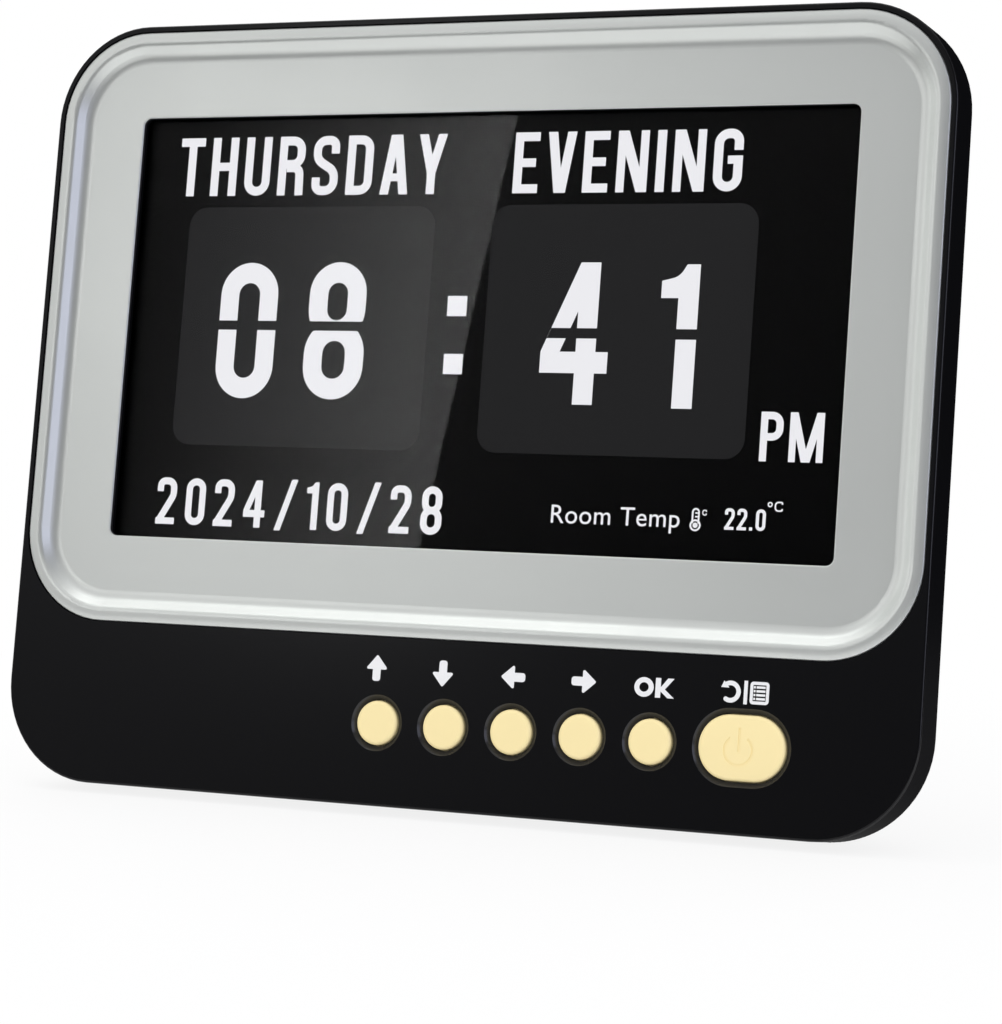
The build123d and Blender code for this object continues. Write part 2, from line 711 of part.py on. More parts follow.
save(
    screws(
        board_posts,
        BOARD_DEPTH,
        SMALL_HEAD,
        SMALL_HEAD_HEIGHT,
        SMALL_SHANK,
        SMALL_SCREW,
        from_back=False,
    ),
    "main_board_screws",
)

with BuildPart() as board_chips:
    for across, up, width, height, thick in CHIPS:
        with BuildSketch(level(board_back, *on_board((across, up)))):
            Rectangle(width, height)
        extrude(amount=-thick)
save(board_chips.part, "board_chips")

capacitor_places = [on_board(place) for place in CAPACITORS]
capacitor_back = board_back + CAPACITOR_HEIGHT
save(rods(capacitor_places, board_back, capacitor_back, CAPACITOR_RADIUS), "board_capacitors")

cell_place = on_board(CELL_PLACE)

with BuildPart() as cell_holder:
    with BuildSketch(level(board_back, *cell_place)):
        Circle(COIN_RADIUS + HOLDER_WALL)
    extrude(amount=-(HOLDER_BASE + COIN_THICK / 2))
    with BuildSketch(level(board_back + HOLDER_BASE, *cell_place)):
        Circle(COIN_RADIUS + BORE_FIT)
    extrude(amount=-COIN_THICK, mode=Mode.SUBTRACT)
save(cell_holder.part, "cell_holder")

with BuildPart() as coin_cell:
    with BuildSketch(level(board_back + HOLDER_BASE, *cell_place)):
        Circle(COIN_RADIUS)
    extrude(amount=-COIN_THICK)
    chamfer(coin_cell.faces().sort_by(FRONTWARDS)[0].edges(), COIN_THICK / 8)
save(coin_cell.part, "coin_cell")


# Sockets, drawn on upright planes square to their mouths
usb_middle = (usb_up, -board_back - USB_HEIGHT / 2)
card_middle = (card_up, -board_back - CARD_HEIGHT / 2)
inlet_middle = (inlet_up, -board_back - INLET_HEIGHT / 2)
tongue_middle = (usb_up, -board_back - 2 * USB_SHELL - USB_TONGUE / 2)

with BuildPart() as usb_socket:
    with BuildSketch(side(port_face)):
        with Locations(usb_middle):
            Rectangle(USB_WIDTH, USB_HEIGHT)
    extrude(amount=-USB_LENGTH)
    with BuildSketch(side(port_face)):
        with Locations(usb_middle):
            Rectangle(USB_WIDTH - 2 * USB_SHELL, USB_HEIGHT - 2 * USB_SHELL)
    extrude(amount=USB_SHELL - USB_LENGTH, mode=Mode.SUBTRACT)
    with BuildSketch(side(port_face - USB_TONGUE)):
        with Locations(tongue_middle):
            Rectangle(USB_WIDTH - 4 * USB_SHELL, USB_TONGUE)
    extrude(amount=USB_TONGUE - USB_LENGTH)
save(usb_socket.part, "usb_socket")

with BuildPart() as card_socket:
    with BuildSketch(side(port_face)):
        with Locations(card_middle):
            Rectangle(CARD_WIDTH, CARD_HEIGHT)
    extrude(amount=-CARD_LENGTH)
    with BuildSketch(side(port_face)):
        with Locations(card_middle):
            Rectangle(CARD_SLOT_WIDTH, CARD_SLOT)
    extrude(amount=USB_SHELL - CARD_LENGTH, mode=Mode.SUBTRACT)
save(card_socket.part, "card_socket")

with BuildPart() as power_inlet:
    with BuildSketch(side(port_face)):
        with Locations(inlet_middle):
            SlotOverall(INLET_WIDTH, INLET_HEIGHT)
    extrude(amount=-INLET_LENGTH)
    with BuildSketch(side(port_face)):
        with Locations(inlet_middle):
            SlotOverall(INLET_WIDTH - 2 * INLET_SHELL, INLET_HEIGHT - 2 * INLET_SHELL)
    extrude(amount=INLET_SHELL - INLET_LENGTH, mode=Mode.SUBTRACT)
    with BuildSketch(side(port_face - INLET_TONGUE)):
        with Locations(inlet_middle):
            Rectangle(INLET_WIDTH - 3 * INLET_TONGUE, INLET_TONGUE)
    extrude(amount=INLET_TONGUE - INLET_LENGTH)
save(power_inlet.part, "power_inlet")

# Speaker, facing the grille in the back, on the other side of the leg from the board
speaker_across = -beside_recess
speaker_axis = Axis(spot(speaker_across, SPEAKER_UP, 0), FACE.z_dir)
flange_depth = pod_inside - SPEAKER_FLANGE
neck_depth = flange_depth - BASKET_DEPTH + SPEAKER_FLANGE
basket_shoulder = SPEAKER_RADIUS - SKIRT
with BuildPart() as speaker_basket:
    with BuildSketch(side(speaker_across)):
        with BuildLine():
            Polyline(
                (SPEAKER_UP + SPEAKER_RADIUS, -pod_inside),
                (SPEAKER_UP + SPEAKER_RADIUS, -flange_depth),
                (SPEAKER_UP + basket_shoulder, -flange_depth),
                (SPEAKER_UP + BASKET_NECK, -neck_depth),
                (SPEAKER_UP, -neck_depth),
                (SPEAKER_UP, -neck_depth - BASKET_WALL),
                (SPEAKER_UP + BASKET_NECK - BASKET_WALL, -neck_depth - BASKET_WALL),
                (SPEAKER_UP + basket_shoulder - 2 * BASKET_WALL, -pod_inside),
                close=True,
            )
        make_face()
    revolve(axis=speaker_axis)
save(speaker_basket.part, "speaker_basket")

cone_rim = basket_shoulder - 2 * BASKET_WALL - SOCKET_GAP
cone_neck = BASKET_NECK / 2
cone_floor = neck_depth + 2 * BASKET_WALL
with BuildPart() as speaker_cone:
    with BuildSketch(side(speaker_across)):
        with BuildLine():
            Polyline(
                (SPEAKER_UP, -cone_floor - 2 * CONE_THICK),
                (SPEAKER_UP, -cone_floor - CONE_THICK),
                (SPEAKER_UP + cone_neck, -cone_floor),
                (SPEAKER_UP + cone_rim - CONE_THICK, -pod_inside + CONE_THICK),
                (SPEAKER_UP + cone_rim, -pod_inside),
                (SPEAKER_UP + cone_rim - 2 * CONE_THICK, -pod_inside),
                (SPEAKER_UP + cone_neck, -cone_floor - 2 * CONE_THICK),
                close=True,
            )
        make_face()
    revolve(axis=speaker_axis)
save(speaker_cone.part, "speaker_cone")

save(
    rods([(speaker_across, SPEAKER_UP)], neck_depth - MAGNET_DEPTH, neck_depth, BASKET_NECK),
    "speaker_magnet",
)


# Inner leads and flat cables
def lead(points):
    """A round lead along points given across, up and in depth, with its turns rounded."""
    stops = [spot(*p) for p in points]
    runs = [(b - a).length for a, b in zip(stops, stops[1:])]
    turns = [(b - a).get_angle(c - b) for a, b, c in zip(stops, stops[1:], stops[2:])]
    radii = [
        0.45 * min(before, after) / tan(radians(turn_by) / 2)
        for before, after, turn_by in zip(runs, runs[1:], turns)
    ]
    with BuildPart() as wire:
        with BuildLine() as path:
            FilletPolyline(*stops, radius=radii)
        with BuildSketch(Plane(path.line @ 0, z_dir=path.line % 0)):
            Circle(LEAD_RADIUS)
        sweep(path=path.line)
    return wire.part


lead_depth = BOARD_DEPTH - LEAD_RADIUS
basket_flank = speaker_across + BASKET_NECK + BASKET_TAG
with BuildPart() as speaker_leads:
    for up in (SPEAKER_UP - LEAD_APART, SPEAKER_UP + LEAD_APART):
        add(
            lead(
                (
                    (basket_flank, up, neck_depth + SPEAKER_FLANGE),
                    (basket_flank + LEAD_BEND, up, lead_depth),
                    (board_left + POST_IN, up, lead_depth),
                )
            )
        )
save(speaker_leads.part, "speaker_leads")

sensor_across = SENSOR_IN - pod_side
with BuildPart() as temperature_sensor:
    with BuildSketch(side(sensor_across)):
        with Locations((SENSOR_UP, -SENSOR_DEPTH)):
            Circle(SENSOR_RADIUS)
    extrude(amount=-SENSOR_LENGTH)
    fillet(temperature_sensor.faces().sort_by(Axis.X)[0].edges(), SENSOR_RADIUS / 2)
    board_lead_depth = BUTTON_BOARD_DEPTH + BOARD_THICK + LEAD_RADIUS
    for s in (-1, 1):
        start_up = SENSOR_UP + s * LEAD_APART / 2
        end_up = BUTTON_UP + s * LEAD_APART / 2
        add(
            lead(
                (
                    (sensor_across, start_up, SENSOR_DEPTH),
                    (sensor_across + SENSOR_LEAD, start_up, SENSOR_DEPTH),
                    (board_first - LEAD_BEND, end_up, board_lead_depth),
                    (board_first + LEAD_JOINT, end_up, board_lead_depth),
                )
            )
        )
save(temperature_sensor.part, "temperature_sensor")

ribbon_middle = RIBBON_THICK / 2
with BuildPart() as lcd_ribbon:
    with BuildSketch(side(board_right - RIBBON_IN)):
        with BuildLine():
            panel_low = screen_up - PANEL_HEIGHT / 2
            loop_low = panel_low - RIBBON_GRIP
            near = -panel_back - ribbon_middle
            far = -BOARD_DEPTH + ribbon_middle
            Line((panel_low + RIBBON_GRIP, near), (loop_low, near))
            ThreePointArc(
                (loop_low, near), (loop_low - (near - far) / 2, (near + far) / 2), (loop_low, far)
            )
            Line((loop_low, far), (panel_low + RIBBON_PLUG, far))
        trace(line_width=RIBBON_THICK)
    extrude(amount=RIBBON_WIDTH / 2, both=True)
save(lcd_ribbon.part, "lcd_ribbon")

with BuildPart() as button_cable:
    with BuildSketch(side((board_posts[0][0] + board_posts[1][0]) / 2)):
        with BuildLine():
            near = -BUTTON_BOARD_DEPTH - BOARD_THICK - ribbon_middle
            FilletPolyline(
                (BUTTON_UP - CABLE_GRIP, near),
                (BUTTON_UP + BUTTON_BOARD_HEIGHT / 2 + CABLE_GRIP, near),
                (BOARD_LOW - CABLE_GRIP, -BOARD_DEPTH + ribbon_middle),
                (BOARD_LOW + CABLE_PLUG, -BOARD_DEPTH + ribbon_middle),
                radius=CABLE_BEND,
            )
        trace(line_width=RIBBON_THICK)
    extrude(amount=CABLE_WIDTH / 2, both=True)
save(button_cable.part, "button_cable")

# Rear cover
FLOOR = Plane.XY.offset(FEET_PROUD)
swing = radians(SWING)


def stop_depth(up):
    """Depth of the sloping stop that the opened leg's upper end lies against."""
    return hinge_depth - LEG_THICK / 2 / cos(swing) - (up - HINGE_UP) * tan(swing) - STOP_GAP


stop_low = HINGE_UP + (stop_depth(HINGE_UP) - recess_floor) / tan(swing)


def recess_section(wall=0.0):
    """Side section of the leg's recess, or of the trough that forms it when given a wall."""
    outer_back = -POD_DEPTH - LEG_THICK if wall == 0 else -pod_inside - wall / 2
    top = recess_top + wall
    return (
        (-POD_CORNER, outer_back),
        (-POD_CORNER, wall - recess_floor),
        (stop_low, wall - recess_floor),
        (top, wall - stop_depth(top)),
        (top, outer_back),
    )


with BuildPart() as rear_cover:
    # sloping rim and flat back, then the raised centre, cut level with the table below
    with BuildSketch(level(SIDE_DEPTH, 0, housing_middle)):
        RectangleRounded(HOUSING_WIDTH, HOUSING_HEIGHT, HOUSING_CORNER)
    extrude(amount=-COVER_DEPTH, taper=COVER_TAPER)
    with BuildSketch(level(SIDE_DEPTH)):
        with Locations((0, (POD_TOP - POD_CORNER) / 2)):
            RectangleRounded(POD_WIDTH, POD_TOP + POD_CORNER, POD_CORNER)
    extrude(amount=SIDE_DEPTH - POD_DEPTH)
    fillet(rear_cover.faces().sort_by(FRONTWARDS)[0].edges(), POD_ROUND)
    split(bisect_by=FLOOR, keep=Keep.TOP)

    # hollow inside
    with BuildSketch(level(SIDE_DEPTH, 0, housing_middle)):
        RectangleRounded(
            HOUSING_WIDTH - 2 * COVER_INSET,
            HOUSING_HEIGHT - 2 * COVER_INSET,
            HOUSING_CORNER - COVER_INSET,
        )
    extrude(amount=COVER_WALL - COVER_DEPTH, taper=COVER_TAPER, mode=Mode.SUBTRACT)
    inner_height = POD_TOP - COVER_WALL - POD_FLOOR
    with BuildSketch(level(SIDE_DEPTH, 0, POD_FLOOR + inner_height / 2)):
        RectangleRounded(POD_WIDTH - 2 * COVER_WALL, inner_height, POD_CORNER - COVER_WALL)
    extrude(amount=SIDE_DEPTH - pod_inside, mode=Mode.SUBTRACT)

    # spigot that centres the cover in the housing
    lip_inset = SIDE_WALL + FIT
    with BuildSketch(level(SIDE_DEPTH + LIP_ROOT, 0, housing_middle)):
        for inset, mode in ((lip_inset, Mode.ADD), (lip_inset + LIP_THICK, Mode.SUBTRACT)):
            RectangleRounded(
                HOUSING_WIDTH - 2 * inset, HOUSING_HEIGHT - 2 * inset, HOUSING_CORNER - inset, mode=mode
            )
    extrude(amount=LIP_ROOT + LIP_IN)

    # trough of the leg's recess, with the sloping stop, then the recess itself
    with BuildSketch(side(0)):
        with BuildLine():
            Polyline(*recess_section(RECESS_WALL), close=True)
        make_face()
    extrude(amount=recess_half + EAR, both=True)
    split(bisect_by=FLOOR, keep=Keep.TOP)
    with BuildSketch(side(0)):
        with BuildLine():
            Polyline(*recess_section(), close=True)
        make_face()
    extrude(amount=recess_half, both=True, mode=Mode.SUBTRACT)
    with BuildSketch(side(-recess_half - EAR)):
        with Locations((HINGE_UP, -hinge_depth)):
            Circle(PIN_RADIUS + PIN_FIT)
    extrude(amount=2 * (recess_half + EAR), mode=Mode.SUBTRACT)

    # screw bosses with sunk heads
    with BuildSketch(level(cover_back)):
        with Locations(*cover_places):
            Circle(COVER_BOSS)
    extrude(amount=COVER_DEPTH)
    head_room = COVER_HEAD_HEIGHT + COVER_HEAD_SUNK
    for radius, deep in ((COVER_HEAD, head_room), (COVER_SHANK, COVER_DEPTH)):
        with BuildSketch(level(cover_back)):
            with Locations(*cover_places):
                Circle(radius + COVER_BORE)
        extrude(amount=deep, mode=Mode.SUBTRACT)

    # posts for the main board and the speaker's ring
    with BuildSketch(level(pod_inside)):
        with Locations(*board_posts):
            Circle(SMALL_BOSS)
    extrude(amount=pod_inside - board_back)
    with BuildSketch(level(board_back)):
        with Locations(*board_posts):
            Circle(SMALL_SHANK + THREAD_GAP)
    extrude(amount=-SMALL_SCREW, mode=Mode.SUBTRACT)
    with BuildSketch(level(pod_inside, speaker_across, SPEAKER_UP)):
        Circle(SPEAKER_RADIUS + FIT + SPEAKER_RING)
        Circle(SPEAKER_RADIUS + FIT, mode=Mode.SUBTRACT)
    extrude(amount=SPEAKER_RING_HEIGHT)

    # speaker grille, vents and the sensor's slots
    rows = int(GRILLE_RADIUS // GRILLE_PITCH)
    with BuildSketch(level(pod_inside, speaker_across, SPEAKER_UP)):
        for i in range(-rows, rows + 1):
            with Locations((0, i * GRILLE_PITCH)):
                SlotOverall(2 * sqrt(GRILLE_RADIUS ** 2 - (i * GRILLE_PITCH) ** 2), SLOT_WIDTH)
    extrude(amount=-COVER_WALL, mode=Mode.SUBTRACT)
    with BuildSketch(level(pod_inside, beside_recess, HINGE_UP)):
        with GridLocations(2 * SLOT_WIDTH, 0, VENT_COUNT, 1):
            SlotOverall(VENT_LENGTH, SLOT_WIDTH, rotation=90)
    extrude(amount=-COVER_WALL, mode=Mode.SUBTRACT)
    with BuildSketch(side(-pod_side)):
        with Locations((SENSOR_UP, -(cover_back + pod_inside) / 2)):
            with GridLocations(0, 1.5 * SLOT_WIDTH, 1, 2):
                SlotOverall(VENT_LENGTH, SLOT_WIDTH * 0.8)
    extrude(amount=COVER_WALL, mode=Mode.SUBTRACT)

    # openings in front of the three sockets
    with BuildSketch(side(pod_side)):
        with Locations(usb_middle):
            RectangleRounded(USB_WIDTH + PORT_GAP, USB_HEIGHT + PORT_GAP, PORT_GAP)
        with Locations(card_middle):
            RectangleRounded(CARD_SLOT_WIDTH + PORT_GAP, CARD_SLOT + PORT_GAP, PORT_GAP)
        with Locations(inlet_middle):
            SlotOverall(INLET_WIDTH + PORT_GAP, INLET_HEIGHT + PORT_GAP)
    extrude(amount=-COVER_WALL, mode=Mode.SUBTRACT)

    # sockets for the rubber feet
    with BuildSketch(FLOOR):
        with Locations(*foot_places):
            SlotOverall(FOOT_LENGTH + 2 * FOOT_GAP, FOOT_WIDTH + 2 * FOOT_GAP)
    extrude(amount=FOOT_SUNK, mode=Mode.SUBTRACT)
save(rear_cover.part, "rear_cover")

save(
    screws(
        cover_places,
        cover_back - head_room,
        COVER_HEAD,
        COVER_HEAD_HEIGHT,
        COVER_SHANK,
        COVER_SCREW,
    ),
    "rear_cover_screws",
)

with BuildPart() as rubber_feet:
    with BuildSketch(Plane.XY):
        with Locations(*foot_places):
            SlotOverall(FOOT_LENGTH, FOOT_WIDTH)
    extrude(amount=FEET_PROUD + FOOT_SUNK)
save(rubber_feet.part, "rubber_feet")

# Fold-out leg on its pin
hinge = spot(0, HINGE_UP, hinge_depth)
LEG = Plane(origin=hinge, x_dir=(1, 0, 0), z_dir=(0, -cos(leg_angle), -sin(leg_angle)))
LEG_SIDE = Plane(origin=hinge, x_dir=LEG.y_dir, z_dir=(1, 0, 0))
LEG_BACK = LEG.offset(-LEG_THICK / 2)
LEG_FRONT = LEG.offset(LEG_THICK / 2)


def leg_outline(inset=0.0, top=0.0, foot=0.0):
    """Corners of the leg's tapered outline below the hinge, cut short at either end."""
    slant = (LEG_TOP_WIDTH - LEG_FOOT_WIDTH) / 2 / leg_length
    low = leg_length + LEG_THICK - foot
    half_top = LEG_TOP_WIDTH / 2 - inset - slant * top
    half_low = LEG_TOP_WIDTH / 2 - inset - slant * low
    return (-half_top, -top), (half_top, -top), (half_low, -low), (-half_low, -low)


with BuildPart() as stand_leg:
    with BuildSketch(LEG_BACK):
        with BuildLine():
            Polyline(*leg_outline(), close=True)
        make_face()
        with Locations((0, TAB_LENGTH / 2)):
            Rectangle(STOP_WIDTH, TAB_LENGTH)
    extrude(amount=LEG_THICK)
    with BuildSketch(LEG_SIDE):
        Circle(LEG_THICK / 2)
    extrude(amount=LEG_TOP_WIDTH / 2, both=True)
    split(bisect_by=Plane.XY.offset(STAND_PAD), keep=Keep.TOP)
    with BuildSketch(LEG_FRONT):
        with BuildLine():
            Polyline(*leg_outline(LEG_SKIN, 2 * LEG_THICK, 4 * LEG_THICK), close=True)
        make_face()
        ribbed = leg_length - 5 * LEG_THICK
        bay = ribbed / (LEG_RIB_COUNT + 1)
        with Locations((0, -2 * LEG_THICK - ribbed / 2)):
            Rectangle(LEG_RIB, 2 * ribbed, mode=Mode.SUBTRACT)
            with GridLocations(0, bay, 1, LEG_RIB_COUNT):
                Rectangle(LEG_TOP_WIDTH, LEG_RIB, mode=Mode.SUBTRACT)
    extrude(amount=LEG_SKIN - LEG_THICK, mode=Mode.SUBTRACT)
    with BuildSketch(LEG_BACK):
        with Locations((0, STAND_PAD + 3 * LEG_THICK - leg_length)):
            with GridLocations(0, 2 * LEG_RIB, 1, GRIP_GROOVES):
                SlotOverall(LEG_FOOT_WIDTH / 2, LEG_RIB)
    extrude(amount=LEG_SKIN / 3, mode=Mode.SUBTRACT)
    with BuildSketch(LEG_SIDE):
        Circle(PIN_RADIUS + BORE_FIT)
    extrude(amount=LEG_TOP_WIDTH / 2, both=True, mode=Mode.SUBTRACT)
save(stand_leg.part, "stand_leg")

with BuildPart() as stand_pad:
    with BuildSketch(LEG_BACK):
        with BuildLine():
            Polyline(*leg_outline(top=leg_length / 2), close=True)
        make_face()
    extrude(amount=LEG_THICK)
    split(bisect_by=Plane.XY.offset(STAND_PAD), keep=Keep.BOTTOM)
    split(bisect_by=Plane.XY, keep=Keep.TOP)
save(stand_pad.part, "stand_pad")

with BuildPart() as stand_pin:
    with BuildSketch(LEG_SIDE):
        Circle(PIN_RADIUS)
    extrude(amount=recess_half + EAR, both=True)
save(stand_pin.part, "stand_pin")

with BuildPart() as friction_washers:
    for start in (LEG_TOP_WIDTH / 2 + WASHER_SLACK, -LEG_TOP_WIDTH / 2 - LEG_GAP):
        with BuildSketch(LEG_SIDE.offset(start)):
            Circle(WASHER_RADIUS)
            Circle(PIN_RADIUS + BORE_FIT, mode=Mode.SUBTRACT)
        extrude(amount=LEG_GAP - WASHER_SLACK)
save(friction_washers.part, "friction_washers")

print(f"depth over the opened leg {reach:.2f}, leg {leg_length:.2f} from the pin to the table")
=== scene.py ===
# %% [markdown]
# # A digital photo frame clock
#
# The frame below is the clock's real assembly: every moulding, screw and button is already in its
# place, in metres. This lesson gives it its surfaces, its lit display and its printed marks. The
# face leans back, so most pieces are drawn flat on the face and then tipped into place.

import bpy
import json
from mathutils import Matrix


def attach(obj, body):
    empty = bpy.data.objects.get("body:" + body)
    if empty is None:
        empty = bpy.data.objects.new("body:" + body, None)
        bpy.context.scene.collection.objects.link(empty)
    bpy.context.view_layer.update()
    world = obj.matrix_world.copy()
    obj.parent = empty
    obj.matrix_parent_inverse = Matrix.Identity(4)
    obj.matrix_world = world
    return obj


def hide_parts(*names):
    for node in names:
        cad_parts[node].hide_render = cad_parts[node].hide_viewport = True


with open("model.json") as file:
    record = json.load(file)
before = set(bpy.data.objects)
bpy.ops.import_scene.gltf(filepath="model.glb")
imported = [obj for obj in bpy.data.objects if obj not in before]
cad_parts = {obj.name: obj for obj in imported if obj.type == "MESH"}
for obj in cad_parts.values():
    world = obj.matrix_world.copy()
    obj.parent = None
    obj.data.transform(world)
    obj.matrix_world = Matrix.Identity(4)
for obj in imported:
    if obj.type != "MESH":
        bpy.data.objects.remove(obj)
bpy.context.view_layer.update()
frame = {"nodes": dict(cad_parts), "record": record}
nodes = frame["nodes"]

# %% Tools
import json
from math import atan2, cos, pi, radians, sin, tau

import bmesh
import bpy
from mathutils import Matrix, Vector
from mathutils.geometry import delaunay_2d_cdt

MM = 0.001

# %% [markdown]
# ## Finding places on the face
#
# On the real clock everything on the front is measured from the housing's lower edge: so far across,
# so far up the face, so deep behind it. One function turns such a place into the frame of the parts,
# so that no piece needs a fitted position. Two more add an object and take a finished mesh.

# %% Places on the face
LEAN = radians(10.0)
FACE_FOOT = Vector((0.0, -28.45, 2.063)) * MM
ACROSS = Vector((1, 0, 0))
UP = Vector((0, sin(LEAN), cos(LEAN)))
OUT = Vector((0, -cos(LEAN), sin(LEAN)))
SCREEN_UP = 93.4
LENS_DEPTH = 2.2


def place(across, up, depth=0.0):
    """A point in metres, from millimetres across, up the face and behind it."""
    return FACE_FOOT + (ACROSS * across + UP * up - OUT * depth) * MM


def on_face(across, up, depth):
    """The matrix that lays a flat drawing in millimetres on the face, at that place."""
    turn = Matrix((ACROSS, UP, OUT)).transposed().to_4x4()
    return Matrix.Translation(place(across, up, depth)) @ turn @ Matrix.Scale(MM, 4)


def add(name, data):
    """A new object in the scene."""
    made = bpy.data.objects.new(name, data)
    bpy.context.scene.collection.objects.link(made)
    return made


def result_mesh(piece):
    """The mesh that an object's curve, modifiers or nodes come to."""
    bpy.context.view_layer.update()
    return bpy.data.meshes.new_from_object(piece.evaluated_get(bpy.context.evaluated_depsgraph_get()))


screen_middle = place(0, SCREEN_UP, LENS_DEPTH)
print("middle of the screen", [round(v / MM, 2) for v in screen_middle])

# %% [markdown]
# ## Colours and material nodes
#
# Hex colours are what a paint or plastics chart gives, but shaders work in linear light, so one
# function converts them. A second small function adds any node with its settings and links.


# %% Helpers for materials
def colour(code, alpha=1.0):
    """A linear colour from an sRGB hex code."""
    parts = [int(code[i : i + 2], 16) / 255 for i in (1, 3, 5)]
    linear = [c / 12.92 if c <= 0.04045 else ((c + 0.055) / 1.055) ** 2.4 for c in parts]
    return (*linear, alpha)


def node(tree, kind, links=(), **settings):
    """Add a node, set its inputs by name or number and its properties, and link its inputs."""
    made = tree.nodes.new(kind)
    inputs = settings.pop("inputs", {})
    for key, value in settings.items():
        setattr(made, key, value)
    for key, value in inputs.items():
        made.inputs[key].default_value = value
    for key, source in dict(links).items():
        tree.links.new(source, made.inputs[key])
    return made


def surface(name, base, rough, **sockets):
    """A material with one Principled shader, its uniform values set on the shader itself."""
    made = bpy.data.materials.new(name)
    made.use_nodes = True
    shader = made.node_tree.nodes["Principled BSDF"]
    shader.inputs["Base Color"].default_value = colour(base)
    shader.inputs["Roughness"].default_value = rough
    for key, value in sockets.items():
        shader.inputs[key.replace("_", " ")].default_value = value
    made.diffuse_color = colour(base)
    return made, made.node_tree, shader


def grain(tree, shader, size, depth):
    """A fine moulded or sprayed texture: noise of that size in mm, as bump of that depth in mm."""
    where = node(tree, "ShaderNodeTexCoord")
    noise = node(
        tree,
        "ShaderNodeTexNoise",
        {"Vector": where.outputs["Object"]},
        inputs={"Scale": 1 / (size * MM), "Detail": 3.0},
    )
    bump = node(
        tree,
        "ShaderNodeBump",
        {"Height": noise.outputs["Fac"]},
        inputs={"Strength": 1.0, "Distance": depth * MM},
    )
    tree.links.new(bump.outputs["Normal"], shader.inputs["Normal"])


def mottle(tree, shader, patch, low, high):
    """Let the roughness change slowly over patches of that size in mm, between low and high."""
    where = node(tree, "ShaderNodeTexCoord")
    noise = node(
        tree,
        "ShaderNodeTexNoise",
        {"Vector": where.outputs["Object"]},
        inputs={"Scale": 1 / (patch * MM), "Detail": 2.0},
    )
    spread = node(
        tree,
        "ShaderNodeMapRange",
        {"Value": noise.outputs["Fac"]},
        inputs={"From Min": 0.3, "From Max": 0.7, "To Min": low, "To Max": high},
    )
    tree.links.new(spread.outputs["Result"], shader.inputs["Roughness"])


def two_tone(tree, shader, where, usual, other):
    """Change the base colour between two hex colours by a mask, 0 or 1."""
    mix = node(
        tree,
        "ShaderNodeMix",
        {"Factor": where},
        data_type="RGBA",
        inputs={"A": colour(usual), "B": colour(other)},
    )
    tree.links.new(mix.outputs["Result"], shader.inputs["Base Color"])


def along_out(tree, output):
    """How far a place, or a surface's normal, points out of the clock's face."""
    where = node(tree, "ShaderNodeTexCoord")
    links = {0: where.outputs[output]}
    dot = node(tree, "ShaderNodeVectorMath", links, operation="DOT_PRODUCT", inputs={1: OUT})
    return dot.outputs["Value"]


def maths(tree, operation, links, **inputs):
    """A calculation with one result. Inputs are given as a=, b= and c=."""
    values = {"abc".index(key): value for key, value in inputs.items()}
    return node(tree, "ShaderNodeMath", links, operation=operation, inputs=values).outputs[0]


# %% [markdown]
# ## Black ABS
#
# Housing, rear cover and leg are moulded ABS from a spark-eroded tool: nearly black, with a fine even
# texture of about 0.25 mm that spreads highlights. It could be one dark colour, but three regions of
# the tool differ and the eye finds the edges by them:
#
# - straight side walls are drawn along a coarse tool face and hardly shine, even seen at a slant, which
#   an index close to that of air gives
# - faces that lean have a slight gloss, which a thin coat gives
# - the 45 degree chamfers round the buttons are polished, and a painted reflection lightens their
#   colour to grey, so they look like thin grey rings

# %% Black plastic
BLACK, CHAMFER_PAINTED_SHEEN = "#0C0C0E", "#29292A"
WALL_GLOSS_IOR = 1.025
FACE_GLOSS, CHAMFER_GLOSS = 0.42, 0.4
WALL_LEAN, CHAMFER_BAND = 0.1, 0.06
abs_black, tree, shader = surface(
    "moulded_black_abs", BLACK, 0.36, IOR=WALL_GLOSS_IOR, Coat_Roughness=0.2
)
grain(tree, shader, 0.25, 0.003)
mottle(tree, shader, 30.0, 0.33, 0.40)
tilt = along_out(tree, "Normal")
chamfered = maths(tree, "COMPARE", {0: tilt}, b=cos(radians(45)), c=CHAMFER_BAND)
leans = maths(tree, "GREATER_THAN", {0: maths(tree, "ABSOLUTE", {0: tilt})}, b=WALL_LEAN)
face_share = maths(tree, "MULTIPLY", {0: leans}, b=FACE_GLOSS)
gloss = maths(tree, "MULTIPLY_ADD", {0: chamfered, 2: face_share}, b=CHAMFER_GLOSS)
tree.links.new(gloss, shader.inputs["Coat Weight"])
# The chamfers' base colour is painted lighter grey: a painted reflection, not the plastic's own colour.
two_tone(tree, shader, chamfered, BLACK, CHAMFER_PAINTED_SHEEN)

# %% [markdown]
# ## Cream caps, inner plastics and rubber
#
# The caps are cream ABS with a finer texture, so they keep a soft even tone. Nylon, polycarbonate and
# rubber differ mostly in how rough they are: rubber has a matt, powdery face.

# %% Other plastics
cap_cream, tree, shader = surface("moulded_cream_abs", "#FCE9AE", 0.42)
grain(tree, shader, 0.3, 0.003)
mottle(tree, shader, 6.0, 0.38, 0.46)

switch_black, tree, shader = surface("moulded_black_nylon", "#17171A", 0.5)
grain(tree, shader, 0.4, 0.005)

tray_white, tree, shader = surface("moulded_white_polycarbonate", "#E4E4DF", 0.45)
grain(tree, shader, 0.5, 0.004)

rubber_black, tree, shader = surface("moulded_black_rubber", "#161616", 0.75)
grain(tree, shader, 0.35, 0.02)
